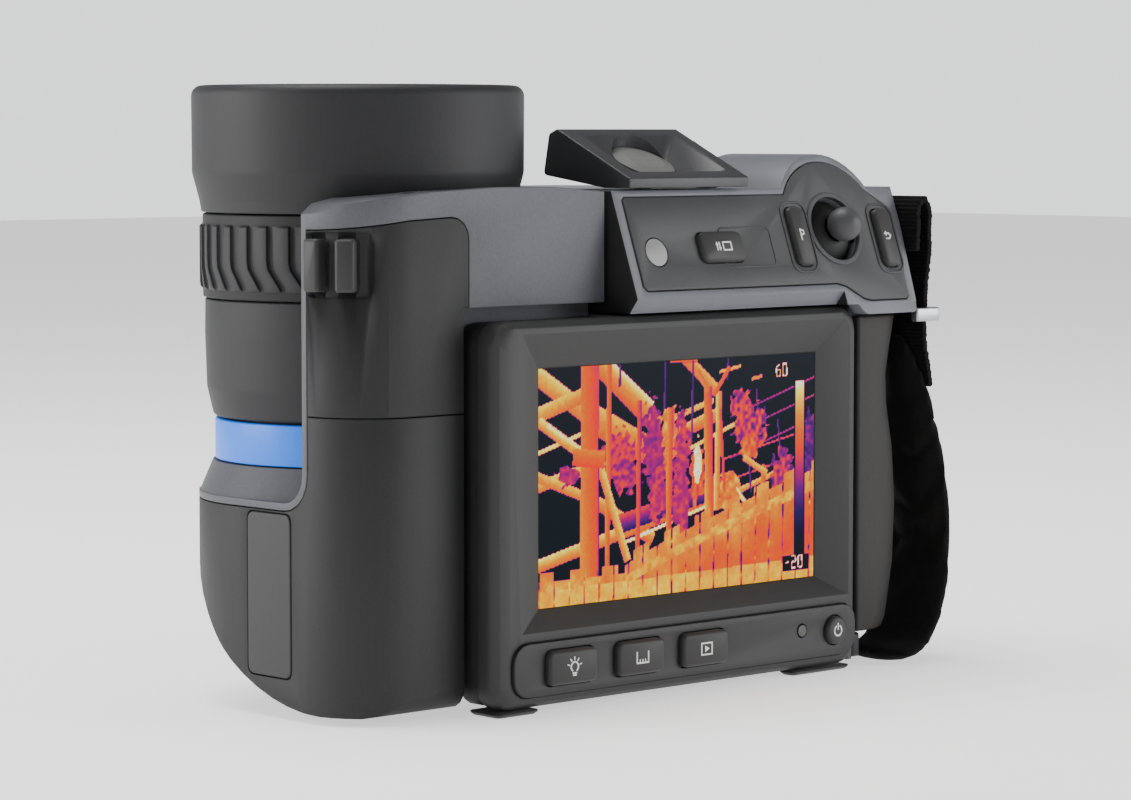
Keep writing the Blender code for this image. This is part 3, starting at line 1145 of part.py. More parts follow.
BLOCK_PIECES = ("block_frame", "upper_cover", "lower_cover", "side_plate", "detector_core",
                "detector_board", "camera_window", "laser_window", "near_side_key",
                "far_side_key", "lens_barrel", "lens_band", "lens_hood", "front_element",
                "rear_element")
VIEWFINDER_PIECES = ("viewfinder_hood", "eye_lens", "view_panel")


def hang():
    """Hang each moving group on its joint's axis, and all of it on the base's middle."""
    middle = middle_of_base()
    piece = bpy.data.objects
    base = piece.new("base_middle", None)
    bpy.context.scene.collection.objects.link(base)
    stick = on_panel(STICK_X, STICK_S, -STICK_PIVOT).translation
    groups = {
        "block_axis": ((BLOCK_RIGHT, HINGE_Y, HINGE_Z), BLOCK_PIECES),
        "focus_axis": ((LENS_X, LENS_Y, FOCUS_LOW), ("focus_ring",)),
        "viewfinder_axis": (view_axis(), VIEWFINDER_PIECES),
        "wheel_axis": (wheel_place(), ("focus_wheel",)),
        "stick_axis": (stick, ("stick_gimbal", "stick_stem", "stick_ball")),
        "door_axis": (door_axis(), ("socket_door",)),
    }
    for name, (point, names) in groups.items():
        pivot(name, point, [piece[n] for n in names], base)
    for part in piece:
        if part.type == "MESH" and not part.parent:
            part.parent = base
    base.location = -middle


def door_axis():
    """Point on the socket door's hinge, at its left edge on the far face."""
    return Vector((DOOR_X, HUB_FAR, DOOR_Z + DOOR_H / 2))


def main():
    """Build every piece, then hang them on the joints' axes and the base empty."""
    for old in list(bpy.data.objects):
        bpy.data.objects.remove(old)
    display_frame()
    key_row()
    display_inside()
    block_frame()
    upper = block_cover("upper_cover", False)
    cut(upper, *side_key_holes("cover", 6 * MM))
    lower = block_cover("lower_cover", True)
    cut(lower, plate_seat("cut_plate_cover"))
    cut(bpy.data.objects["block_frame"], *side_key_holes("frame", 3.2 * MM))
    side_parts()
    front_windows()
    detector()
    lens()
    main_housing()
    underside()
    hub()
    door_and_sockets()
    main_board()
    top_cover()
    control_panel()
    joystick()
    trigger()
    viewfinder()
    grip_cover()
    strap_loop()
    hand_strap()
    strap_anchor()
    hang()


main()
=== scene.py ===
# %% [markdown]
# # A thermal imaging camera, dressed for its portrait
# The working model of this camera is already there: every shell, key, hinge and lens is a plain
# solid in its real place.  This lesson gives those solids their looks.  Some keep their shape and
# only get a better finish, others are made again with finer edges, and the strap's pad is blown up
# as cloth.  Everything is in metres, +Z is up, and the display faces -Y.

# %% Load the working model
import json
import math

import bmesh
import bpy
import numpy as np
from mathutils import Matrix, Vector


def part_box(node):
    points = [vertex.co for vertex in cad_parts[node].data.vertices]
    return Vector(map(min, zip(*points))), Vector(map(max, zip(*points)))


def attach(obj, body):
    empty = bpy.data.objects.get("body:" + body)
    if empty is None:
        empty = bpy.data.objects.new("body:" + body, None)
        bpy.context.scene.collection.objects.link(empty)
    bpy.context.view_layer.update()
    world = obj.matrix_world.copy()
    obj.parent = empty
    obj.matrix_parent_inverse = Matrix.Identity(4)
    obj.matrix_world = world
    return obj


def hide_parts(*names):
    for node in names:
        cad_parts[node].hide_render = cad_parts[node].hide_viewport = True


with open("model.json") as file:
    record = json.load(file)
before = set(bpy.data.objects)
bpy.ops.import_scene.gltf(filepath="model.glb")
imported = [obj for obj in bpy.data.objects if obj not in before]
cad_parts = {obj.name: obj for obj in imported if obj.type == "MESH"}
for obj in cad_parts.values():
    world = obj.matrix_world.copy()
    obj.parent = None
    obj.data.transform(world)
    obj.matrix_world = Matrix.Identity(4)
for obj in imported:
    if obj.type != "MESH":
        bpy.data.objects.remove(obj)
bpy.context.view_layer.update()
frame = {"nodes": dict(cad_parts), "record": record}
MM = 0.001

# %% [markdown]
# ## Places
# A piece that is made again has to fill the place of the one it stands for.  So its size and its
# place are read from the working model's boxes, and never typed in twice.


# %% Read places from the model
def low_high(node):
    """Lowest and highest corner of a piece, as vectors."""
    low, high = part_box(node)
    return Vector(low), Vector(high)


def middle(node):
    """Middle of a piece's box."""
    low, high = low_high(node)
    return (low + high) / 2


glass_low, glass_high = low_high("screen_glass")
lens_axis = middle("lens_band")
print("display width in mm:", round((glass_high.x - glass_low.x) / MM, 1))

# %% [markdown]
# ## Camera, floor and light
# A long lens from the user's left, a little above the middle, shows the block's side, the
# display and the grip together.  The light is that of a small product studio: soft panels stand
# behind on the left, in front on the right and overhead, and a weak one fills in from the front.

# %% Camera, floor and light
VIEW_TURN, VIEW_DROP = math.radians(43), math.radians(4.21)
VIEW_FROM = Vector((-632.2, -637.6, 84.8)) * MM      # from the middle of the display glass
SENSOR, FOCAL = 36.0, 116.86
LIGHTS_AIM = Vector((0, 0, 70 * MM))
LIGHTS = {      # place, side of the square panel, watts, colour
    "left_panel": ((-1.05, 0.75, 0.42), 0.75, 17.0, (1.0, 0.99, 0.985)),
    "right_panel": ((0.95, -1.05, 0.38), 0.75, 13.0, (0.985, 0.99, 1.0)),
    "top_panel": ((-0.1, 0.25, 1.15), 0.7, 15.0, (1, 1, 1)),
    "front_fill": ((-0.9, -0.9, 0.7), 0.5, 1.5, (1, 1, 1)),
}


def studio_camera():
    """The camera that the render is taken with."""
    lens = bpy.data.cameras.new("studio_camera")
    lens.sensor_width = SENSOR
    lens.lens = FOCAL
    lens.clip_start = 0.05
    holder = bpy.data.objects.new("studio_camera", lens)
    bpy.context.scene.collection.objects.link(holder)
    holder.location = middle("screen_glass") + VIEW_FROM
    holder.rotation_euler = (math.pi / 2 - VIEW_DROP, 0, -VIEW_TURN)
    bpy.context.scene.camera = holder
    return holder


def soft_light(name, place, size, watts, hue):
    """A square soft panel that points at the model's middle."""
    panel = bpy.data.lights.new(name, "AREA")
    panel.shape = "SQUARE"
    panel.size = size
    panel.energy = watts
    panel.color = hue
    holder = bpy.data.objects.new(name, panel)
    bpy.context.scene.collection.objects.link(holder)
    holder.location = place
    aim = LIGHTS_AIM - Vector(place)
    holder.rotation_euler = aim.to_track_quat("-Z", "Y").to_euler()
    return holder


studio_camera()
for light, settings in LIGHTS.items():
    soft_light(light, *settings)
print("soft panels:", len(LIGHTS))

# %% [markdown]
# ## How the finishes are made
# Each finish is a Principled shader with a few nodes before it.  `tint` turns the colour that one
# reads off a sample card (an sRGB hex value) into the linear values that a render needs.  `put`
# adds one node with its settings and its links.  `moulded` is what nearly all the shells share:
# a base colour that varies a little, a fine grain in the surface, and edges rounded in the shading.


# %% Colour and node helpers
def tint(hex_code, alpha=1.0):
    """Linear colour from an sRGB hex value."""
    parts = [int(hex_code[i:i + 2], 16) / 255 for i in (1, 3, 5)]
    linear = [p / 12.92 if p <= 0.04045 else ((p + 0.055) / 1.055) ** 2.4 for p in parts]
    return (*linear, alpha)


def put(tree, kind, inputs=None, **settings):
    """Add a node; inputs are values or sockets to link, settings are its own properties."""
    node = tree.nodes.new(kind)
    for key, value in settings.items():
        setattr(node, key, value)
    for key, value in (inputs or {}).items():
        if isinstance(value, bpy.types.NodeSocket):
            tree.links.new(value, node.inputs[key])
        else:
            node.inputs[key].default_value = value
    return node


DULL_SKIN = 0.32        # moulded skins throw back less than polished plastic


def finish_start(name, hex_code, roughness, metallic=0.0, ior=1.5):
    """A new material with its shader set; returns the material, its tree and the shader."""
    made = bpy.data.materials.new(name)
    made.use_nodes = True
    tree = made.node_tree
    shader = tree.nodes["Principled BSDF"]
    shader.inputs["Base Color"].default_value = tint(hex_code)
    shader.inputs["Roughness"].default_value = roughness
    shader.inputs["Metallic"].default_value = metallic
    if not metallic:
        shader.inputs["IOR"].default_value = ior
        shader.inputs["Specular IOR Level"].default_value = DULL_SKIN
    made.diffuse_color = tint(hex_code)
    return made, tree, shader


def per_size(size_mm):
    """A noise texture's scale for features of a real size."""
    return 1 / (size_mm * MM)


def moulded(name, dark, light, roughness, grain_mm, grain_depth, cloud_mm=28.0, speck=0.0,
            metallic=0.0, rounding=0.35):
    """A moulded or painted shell: two close tones, a fine grain and softened edges."""
    made, tree, shader = finish_start(name, dark, roughness, metallic)
    place = put(tree, "ShaderNodeTexCoord").outputs["Object"]
    cloud = put(tree, "ShaderNodeTexNoise", {"Vector": place, "Scale": per_size(cloud_mm),
                                            "Detail": 3.0, "Roughness": 0.6})
    grain = put(tree, "ShaderNodeTexNoise", {"Vector": place, "Scale": per_size(grain_mm),
                                            "Detail": 2.0, "Roughness": 0.7})
    share = 0.45 + speck
    blend = put(tree, "ShaderNodeMath", {0: cloud.outputs["Fac"], 1: share},
                operation="MULTIPLY")
    fleck = put(tree, "ShaderNodeMath", {0: grain.outputs["Fac"], 1: share,
                                         2: blend.outputs[0]}, operation="MULTIPLY_ADD")
    tone = put(tree, "ShaderNodeMapRange", {"Value": fleck.outputs[0], "From Min": 0.25,
                                            "From Max": 0.75})
    colour = put(tree, "ShaderNodeMix", {0: tone.outputs["Result"], 6: tint(dark),
                                         7: tint(light)}, data_type="RGBA")
    tree.links.new(colour.outputs[2], shader.inputs["Base Color"])
    rough = put(tree, "ShaderNodeMapRange", {"Value": cloud.outputs["Fac"],
                                             "To Min": roughness - 0.05,
                                             "To Max": roughness + 0.06})
    tree.links.new(rough.outputs["Result"], shader.inputs["Roughness"])
    edge = put(tree, "ShaderNodeBevel", {"Radius": rounding * MM}, samples=4)
    bump = put(tree, "ShaderNodeBump", {"Height": grain.outputs["Fac"],
                                        "Normal": edge.outputs["Normal"],
                                        "Distance": grain_depth * MM, "Strength": 0.6})
    tree.links.new(bump.outputs["Normal"], shader.inputs["Normal"])
    return made


print("node helpers ready")

# %% [markdown]
# ## Studio walls
# The room is a background light that depends on height only: pale at eye level and dim above, so
# that upward faces stay darker than upright ones.

# %% Studio walls
WALLS, CEILING = 1.6, 0.2               # strength at eye level and overhead
FADE_FROM, FADE_TO = 0.06, 0.32         # the fade's two heights, as the sine of the angle


def studio_walls():
    """Pale walls at eye level that fade to a dim ceiling."""
    world = bpy.data.worlds.new("studio")
    bpy.context.scene.world = world
    world.use_nodes = True
    tree = world.node_tree
    toward = put(tree, "ShaderNodeTexCoord").outputs["Generated"]
    parts = put(tree, "ShaderNodeSeparateXYZ", {0: toward})
    level = put(tree, "ShaderNodeMapRange", {"Value": parts.outputs["Z"], "From Min": FADE_FROM,
                                             "From Max": FADE_TO, "To Min": WALLS,
                                             "To Max": CEILING}, interpolation_type="SMOOTHSTEP")
    back = tree.nodes["Background"]
    back.inputs["Color"].default_value = (0.97, 0.98, 1.0, 1)
    tree.links.new(level.outputs["Result"], back.inputs["Strength"])


studio_walls()

# %% [markdown]
# ## The shells' finishes
# The block's casting is magnesium under a sprayed grey coat: sprayed coats on a casting are never
# even, so the tone wanders and tiny flecks show.  The dark covers, the display's frame and the
# panel are moulded polycarbonate with a spark-eroded texture, which scatters light and looks
# soft.  The top cover is the same plastic in light grey, a little smoother.

# %% Shell finishes
spray_coat = moulded("sprayed_grey_magnesium", "#3e3e43", "#505055", 0.50, 0.55, 0.05, speck=0.1)
light_shell = moulded("light_grey_polycarbonate", "#57585e", "#66676e", 0.42, 0.5, 0.03)
dark_shell = moulded("dark_textured_polycarbonate", "#171718", "#212122", 0.60, 0.6, 0.06)
bezel_shell = moulded("bezel_polycarbonate", "#262626", "#2e2e2e", 0.55, 0.5, 0.04)
panel_shell = moulded("panel_polycarbonate", "#353537", "#404042", 0.50, 0.5, 0.04)
lens_armour = moulded("lens_rubber_armour", "#19191b", "#232325", 0.58, 0.5, 0.05)
print("shell finishes:", len(bpy.data.materials))

# %% [markdown]
# ## Rubber, cloth and metal
# The keys are silicone rubber: dark, matt, with a slight sheen where the light grazes them.  The
# grip is a thermoplastic rubber with a brown tinge, moulded over the housing.  The band round
# the lens is painted blue under a satin clear coat.  The strap's loop is a bent bright bar.

# %% Rubber and metal finishes
silicone = moulded("silicone_rubber", "#201f1f", "#2b2a2a", 0.52, 0.45, 0.03, rounding=0.5)
grip_skin = moulded("thermoplastic_rubber_grip", "#221f1d", "#2d2927", 0.66, 0.8, 0.09, 18.0)
# The stick's cap gets lighter tones than the other rubber: painted light, where the light from the
# upper right falls on it.
stick_rubber_painted_light = moulded("stick_cap_rubber_painted_light", "#38383a", "#454547", 0.48, 0.45, 0.03)
# The viewfinder's rubber is lighter than the other rubber: painted sheen, for the light from above and
# behind that grazes its rim.
eye_rubber_painted_sheen = moulded("viewfinder_rubber_painted_sheen", "#2b2b2d", "#38383a", 0.42, 0.5, 0.04)
# The ribbed ring's dark rubber, also used as painted shade on the top cover's end that faces -X.
rib_rubber_and_painted_shade = moulded("ribbed_ring_rubber_and_painted_shade", "#0d0d0e", "#171718", 0.62, 0.5, 0.05)
blue_paint = moulded("satin_blue_enamel", "#0068e0", "#0a78ee", 0.42, 0.5, 0.01)
dark_metal = moulded("black_anodised_aluminium", "#2b2b2d", "#3a3a3c", 0.42, 0.5, 0.02,
                     metallic=0.7)
bright_bar = moulded("polished_steel_bar", "#97999b", "#abacad", 0.34, 1.2, 0.02, metallic=1.0)
solder_mask = moulded("green_solder_mask", "#14532b", "#1d6a39", 0.40, 2.4, 0.05)
paint_shader = blue_paint.node_tree.nodes["Principled BSDF"]
paint_shader.inputs["Coat Weight"].default_value = 0.12
paint_shader.inputs["Coat Roughness"].default_value = 0.2
silicone.node_tree.nodes["Principled BSDF"].inputs["Sheen Weight"].default_value = 0.08
print("finishes so far:", len(bpy.data.materials))

# %% [markdown]
# ## Glass
# The eyepiece is a thick lens seen from outside, so it looks milky.  The light sensor's window is
# frosted.  The infrared lens is germanium, a metal-like crystal that is black to the eye, under
# a coating that throws back a faint violet.  The print on the keys is white pad-printing ink.


# %% Glass and ink finishes
def glassy(name, hex_code, roughness, clear, ior=1.5, metallic=0.0, cloud_mm=6.0):
    """A glass with a tone that varies slightly over its face."""
    made, tree, shader = finish_start(name, hex_code, roughness, metallic, ior)
    place = put(tree, "ShaderNodeTexCoord").outputs["Object"]
    haze = put(tree, "ShaderNodeTexNoise", {"Vector": place, "Scale": per_size(cloud_mm)})
    soft = put(tree, "ShaderNodeMapRange", {"Value": haze.outputs["Fac"],
                                            "To Min": roughness * 0.7, "To Max": roughness * 1.5})
    tree.links.new(soft.outputs["Result"], shader.inputs["Roughness"])
    shader.inputs["Transmission Weight"].default_value = clear
    shader.inputs["Coat Weight"].default_value = 0.5
    shader.inputs["Coat Roughness"].default_value = 0.05
    return made


milky_lens = glassy("milky_eyepiece_glass", "#6c6c6a", 0.30, 0.1)
frosted = glassy("frosted_sensor_window", "#757574", 0.40, 0.1)
germanium = glassy("coated_germanium", "#16121f", 0.12, 0.0, metallic=0.6)
dark_window = glassy("dark_front_window", "#0d0d10", 0.08, 0.0)
display_glass = glassy("display_cover_glass", "#0a0d0f", 0.10, 0.0)
ink = moulded("white_pad_printing_ink", "#dcdcda", "#ececea", 0.5, 0.4, 0.01)
print("glass and ink ready")

# %% [markdown]
# ## Softening a plain solid
# A moulded shell has no sharp edge anywhere, because the mould's corners are cut with a round
# tool.  `softened` copies a piece of the working model, merges its loose triangles, joins the
# flat ones and rounds the edges that are left.  The copy then stands for the plain piece.


# %% Making and fitting pieces
body_of = {node: body for body, nodes in frame["record"]["behaviour"]["bodies"].items()
           for node in nodes}
slot_of = {entry["node"]: entry["material_slot"] for entry in frame["record"]["subparts"]}


def shaded(mesh, angle=35):
    """Shade a mesh smooth, with its real edges kept sharp."""
    mesh.shade_smooth()
    mesh.set_sharp_from_angle(angle=math.radians(angle))


def new_piece(name, shape, finish, sharp=35):
    """An object from a bmesh, at the origin, with one finish."""
    mesh = bpy.data.meshes.new(name)
    shape.to_mesh(mesh)
    shape.free()
    shaded(mesh, sharp)
    mesh.materials.append(finish)
    piece = bpy.data.objects.new(name, mesh)
    bpy.context.scene.collection.objects.link(piece)
    return piece


def stands_for(piece, *nodes, body=None):
    """The piece takes the place of plain nodes, or only rides with a body."""
    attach(piece, body or body_of[nodes[0]])
    if nodes:
        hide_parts(*nodes)
    return piece


def flattened(piece):
    """Turn the piece with its modifiers into a plain mesh."""
    bpy.context.view_layer.update()
    graph = bpy.context.evaluated_depsgraph_get()
    mesh = bpy.data.meshes.new_from_object(piece.evaluated_get(graph),
                                           preserve_all_data_layers=True, depsgraph=graph)
    piece.modifiers.clear()
    piece.data = mesh
    return piece


def merged_copy(node, clean=0.8):
    """The node's mesh with its doubles merged and its flat triangles joined."""
    shape = bmesh.new()
    shape.from_mesh(frame["nodes"][node].data)
    bmesh.ops.remove_doubles(shape, verts=shape.verts, dist=0.005 * MM)
    bmesh.ops.dissolve_limit(shape, angle_limit=math.radians(clean), verts=shape.verts,
                             edges=shape.edges)
    return shape


def round_edges(piece, width, steps=3, angle=32):
    """Bevel the edges that turn by more than an angle, then flatten the piece."""
    edge = piece.modifiers.new("edge", "BEVEL")
    edge.width = width
    edge.segments = steps
    edge.limit_method = "ANGLE"
    edge.angle_limit = math.radians(angle)
    edge.use_clamp_overlap = True
    edge.miter_outer = "MITER_ARC"
    return flattened(piece)


def softened(node, width, finish, steps=3, angle=32, name=None):
    """A copy of a plain piece with merged faces and rounded edges, standing for it."""
    piece = new_piece(name or f"{node}_shell", merged_copy(node), finish)
    round_edges(piece, width, steps, angle)
    shaded(piece.data, 42)
    return stands_for(piece, node)


def cut_with(piece, *cutters):
    """Cut the piece with other objects, which then go."""
    for cutter in cutters:
        cut = piece.modifiers.new(cutter.name, "BOOLEAN")
        cut.operation = "DIFFERENCE"
        cut.object = cutter
    flattened(piece)
    for cutter in cutters:
        bpy.data.objects.remove(cutter)
    return piece


print("slots:", len(set(slot_of.values())))

# %% [markdown]
# ## Outlines
# Nearly every shape here is an outline that is turned round an axis or pushed along one.
# `rounded` turns the corners of an outline into arcs, `spun` turns an outline round the lens's
# axis, and `pushed` stands a flat outline up between two depths.


# %% Outlines, turned and pushed
def rounded(corners, steps=6):
    """An outline from (x, y, radius) corners, each corner turned into an arc."""
    outline = []
    for i, (x, y, radius) in enumerate(corners):
        here = Vector((x, y))
        before = (Vector(corners[i - 1][:2]) - here).normalized()
        after = (Vector(corners[(i + 1) % len(corners)][:2]) - here).normalized()
        if radius <= 0:
            outline.append((x, y))
            continue
        half = before.angle(after) / 2
        centre = here + (before + after).normalized() * (radius / math.sin(half))
        first = here + before * (radius / math.tan(half)) - centre
        turn = first.angle_signed(here + after * (radius / math.tan(half)) - centre)
        for k in range(steps + 1):
            outline.append(tuple(centre + Matrix.Rotation(-turn * k / steps, 2) @ first))
    return outline


def spun(name, profile, finish, centre, steps=144, sharp=40):
    """A closed (radius, height) profile turned round the vertical through a centre."""
    shape = bmesh.new()
    rings = []
    for radius, height in profile:
        if radius <= 1e-7:
            rings.append([shape.verts.new((centre.x, centre.y, height))] * steps)
            continue
        turns = [2 * math.pi * i / steps for i in range(steps)]
        rings.append([shape.verts.new((centre.x + radius * math.cos(a),
                                       centre.y + radius * math.sin(a), height)) for a in turns])
    for low, high in zip(rings, rings[1:] + rings[:1]):
        for i in range(steps):
            corners = dict.fromkeys((low[i], low[i - 1], high[i - 1], high[i]))
            if len(corners) > 2:
                shape.faces.new(corners)
    bmesh.ops.recalc_face_normals(shape, faces=shape.faces)
    return new_piece(name, shape, finish, sharp)


def pushed(name, outline, low, high, place, finish=None, sharp=35):
    """An outline on local XY, pushed along local Z from low to high, then placed."""
    shape = bmesh.new()
    ends = [[shape.verts.new((x, y, z)) for x, y in outline] for z in (low, high)]
    shape.faces.new(ends[0])
    shape.faces.new(ends[1])
    for i in range(len(outline)):
        shape.faces.new((ends[0][i - 1], ends[0][i], ends[1][i], ends[1][i - 1]))
    shape.transform(place)
    bmesh.ops.recalc_face_normals(shape, faces=shape.faces)
    return new_piece(name, shape, finish or ink, sharp)


def oblong(width, height, radius, steps=6):
    """A rectangle round the origin with round corners."""
    x, y = width / 2, height / 2
    return rounded([(-x, -y, radius), (x, -y, radius), (x, y, radius), (-x, y, radius)], steps)


def joined(name, pieces):
    """Several loose pieces made one object."""
    shape = bmesh.new()
    looks = []
    for piece in pieces:
        before = len(shape.faces)
        shape.from_mesh(piece.data)
        shape.faces.ensure_lookup_table()
        finish = piece.data.materials[0]
        if finish not in looks:
            looks.append(finish)
        for face in shape.faces[before:]:
            face.material_index = looks.index(finish)
        bpy.data.objects.remove(piece)
    whole = new_piece(name, shape, looks[0])
    for finish in looks[1:]:
        whole.data.materials.append(finish)
    return whole


print("outline helpers ready")

# %% [markdown]
# ## Rules instead of copies
# Ribs, screws and threads of cloth repeat by a rule, so a Geometry Nodes tree makes them from one
# small shape.  `rule` starts such a tree with named inputs, and `made_by` hands a shape and its
# sizes to the tree and keeps the result as a plain mesh.


# %% Geometry Nodes helpers
def rule(name, sizes):
    """A tree with a geometry input and named sizes; returns the tree and its input node."""
    tree = bpy.data.node_groups.new(name, "GeometryNodeTree")
    tree.interface.new_socket("Geometry", in_out="INPUT", socket_type="NodeSocketGeometry")
    for label, kind in sizes.items():
        tree.interface.new_socket(label, in_out="INPUT", socket_type=kind)
    tree.interface.new_socket("Geometry", in_out="OUTPUT", socket_type="NodeSocketGeometry")
    return tree, put(tree, "NodeGroupInput")


def close_rule(tree, copies, given):
    """End a tree in Realize Instances and Set Material."""
    real = put(tree, "GeometryNodeRealizeInstances", {"Geometry": copies})
    dressed = put(tree, "GeometryNodeSetMaterial", {"Geometry": real.outputs[0],
                                                    "Material": given.outputs["Finish"]})
    put(tree, "NodeGroupOutput", {"Geometry": dressed.outputs[0]})
    return tree


def made_by(piece, tree, **sizes):
    """Run the tree on the piece with its sizes, and keep the result as a plain mesh."""
    change = piece.modifiers.new(tree.name, "NODES")
    change.node_group = tree
    for item in tree.interface.items_tree:
        if item.item_type == "SOCKET" and item.in_out == "INPUT" and item.name in sizes:
            change[item.identifier] = sizes[item.name]
    return flattened(piece)


def ring_rule():
    """Copies of a shape turned about the vertical, all the way round."""
    tree, given = rule("around_the_ring", {"Count": "NodeSocketInt", "Centre": "NodeSocketVector",
                                           "Finish": "NodeSocketMaterial"})
    line = put(tree, "GeometryNodeMeshLine", {"Count": given.outputs["Count"],
                                              "Start Location": given.outputs["Centre"],
                                              "Offset": (0, 0, 0)})
    step = put(tree, "ShaderNodeMath", {0: math.tau, 1: given.outputs["Count"]},
               operation="DIVIDE")
    index = put(tree, "GeometryNodeInputIndex")
    angle = put(tree, "ShaderNodeMath", {0: index.outputs[0], 1: step.outputs[0]},
                operation="MULTIPLY")
    turn = put(tree, "ShaderNodeCombineXYZ", {"Z": angle.outputs[0]})
    copies = put(tree, "GeometryNodeInstanceOnPoints", {
        "Points": line.outputs["Mesh"], "Instance": given.outputs["Geometry"],
        "Rotation": turn.outputs[0]})
    return close_rule(tree, copies.outputs[0], given)


def row_rule():
    """Copies of a shape in a straight row."""
    tree, given = rule("in_a_row", {"Count": "NodeSocketInt", "Step": "NodeSocketVector",
                                    "Finish": "NodeSocketMaterial"})
    line = put(tree, "GeometryNodeMeshLine", {"Count": given.outputs["Count"],
                                              "Offset": given.outputs["Step"]})
    copies = put(tree, "GeometryNodeInstanceOnPoints", {
        "Points": line.outputs["Mesh"], "Instance": given.outputs["Geometry"]})
    return close_rule(tree, copies.outputs[0], given)


AROUND, IN_A_ROW = ring_rule(), row_rule()
print("rules:", AROUND.name, IN_A_ROW.name)

# %% [markdown]
# ## The lens
# Hood, barrel and band are turned on a lathe, so a profile turned round the axis is the true way
# to make them.  The hood's rim is well rounded, the part below it draws in to the focus ring.
# The ring's grip has bent ribs, each rising from left to right and then dropping sharply.

# %% Lens barrel, band and hood
hood_low, hood_high = low_high("lens_hood")
ring_low, ring_high = low_high("focus_ring")
band_low, band_high = low_high("lens_band")
barrel_low, barrel_high = low_high("lens_barrel")
hood_r = (hood_high.x - hood_low.x) / 2
ring_r = (ring_high.x - ring_low.x) / 2
band_r = (band_high.x - band_low.x) / 2
barrel_r = (barrel_high.x - barrel_low.x) / 2
RIB_PROUD = 0.8 * MM
SHOULDER = 9.5 * MM                    # from the hood's lower edge to its full width
inner_r = hood_r - 9.3 * MM

top, low = hood_high.z, hood_low.z
hood = spun("hood", rounded([
    (inner_r, low, 0), (ring_r - 0.5 * MM, low, 0.4 * MM),
    (ring_r - 0.1 * MM, low + 2.6 * MM, 3 * MM),
    (hood_r - 0.1 * MM, low + SHOULDER, 6 * MM), (hood_r, top, 2.6 * MM),
    (hood_r - 4.2 * MM, top, 1.2 * MM), (hood_r - 7.4 * MM, low + SHOULDER + MM, 1 * MM),
    (inner_r + 2 * MM, low + 8 * MM, 0), (inner_r, low + 8 * MM, 0)], 8), lens_armour, lens_axis)
stands_for(hood, "lens_hood")

shelf = ring_low.z - 0.3 * MM
base = band_high.z + 0.5 * MM
barrel = spun("barrel", rounded([
    (barrel_r - 6 * MM, base, 0), (barrel_r - 2.0 * MM, base, 1.2 * MM),
    (barrel_r - 0.4 * MM, base + 7 * MM, 9 * MM), (barrel_r, base + 20 * MM, 8 * MM),
    (barrel_r - 0.1 * MM, shelf, 0.5 * MM), (barrel_r - 6 * MM, shelf, 0)], 6),
    lens_armour, lens_axis)
sleeve = spun("sleeve", [(barrel_r - 10 * MM, barrel_low.z), (barrel_r - 7.4 * MM, barrel_low.z),
                         (barrel_r - 5.6 * MM, base + 2 * MM), (barrel_r - 2.2 * MM, shelf),
                         (barrel_r - 2.2 * MM, ring_high.z - 0.5 * MM),
                         (barrel_r - 7 * MM, ring_high.z - 0.5 * MM),
                         (barrel_r - 7 * MM, base), (barrel_r - 10 * MM, base)],
              dark_metal, lens_axis)
stands_for(joined("barrel_and_sleeve", [barrel, sleeve]), "lens_barrel")

band = spun("blue_ring", rounded([
    (band_r - 2.4 * MM, band_low.z, 0), (band_r, band_low.z, 0.3 * MM),
    (band_r, band_high.z, 0.5 * MM), (band_r - 2.4 * MM, band_high.z, 0)], 4),
    blue_paint, lens_axis)
stands_for(band, "lens_band")
print("hood radius in mm:", round(hood_r / MM, 1))


# %% Focus ring with its ribs
def bent_rib():
    """One rib at the ring's +X side: upright above, leaning sideways below."""
    shape = bmesh.new()
    foot, bend, head = 2.6 * MM, 8.4 * MM, ring_high.z - ring_low.z - 3.0 * MM
    lean, reach = math.radians(5.4), math.radians(7.0)
    sections = []
    for height, turn, proud in ((foot - 0.5 * MM, lean, 0.05), (foot, lean, 0.8),
                                (foot + MM, 0.86 * lean, 1.0), (bend - MM, 0.1 * lean, 1.0),
                                (bend + MM, 0, 1.0), (head, 0, 1.0), (head + 0.5 * MM, 0, 0.05)):
        ring = []
        for share, lift in ((0.0, -0.5), (0.0, 0.02), (0.25, 0.45), (0.6, 0.85), (0.88, 1.0),
                            (1.0, 0.9), (1.06, -0.5)):
            radius = ring_r - RIB_PROUD + RIB_PROUD * (lift * proud if lift > 0 else lift)
            angle = turn + share * reach
            ring.append(shape.verts.new((radius * math.cos(angle), radius * math.sin(angle),
                                         ring_low.z + height)))
        sections.append(ring)
    for lower, upper in zip(sections, sections[1:]):
        for i in range(len(lower)):
            shape.faces.new((lower[i - 1], lower[i], upper[i], upper[i - 1]))
    shape.faces.new(sections[0])
    shape.faces.new(sections[-1])
    bmesh.ops.recalc_face_normals(shape, faces=shape.faces)
    return new_piece("bent_rib", shape, lens_armour)


RIB_COUNT = 40
ribs = made_by(bent_rib(), AROUND, Count=RIB_COUNT, Centre=(lens_axis.x, lens_axis.y, 0),
               Finish=lens_armour)
ring_body = spun("ring_body", rounded([
    (ring_r - 2.4 * MM, ring_low.z, 0), (ring_r - RIB_PROUD, ring_low.z, 0.5 * MM),
    (ring_r - RIB_PROUD, ring_high.z, 0.5 * MM), (ring_r - 2.4 * MM, ring_high.z, 0)], 4),
    rib_rubber_and_painted_shade, lens_axis)
stands_for(joined("ribbed_ring", [ring_body, ribs]), "focus_ring")
print("ribs round the focus ring:", RIB_COUNT)

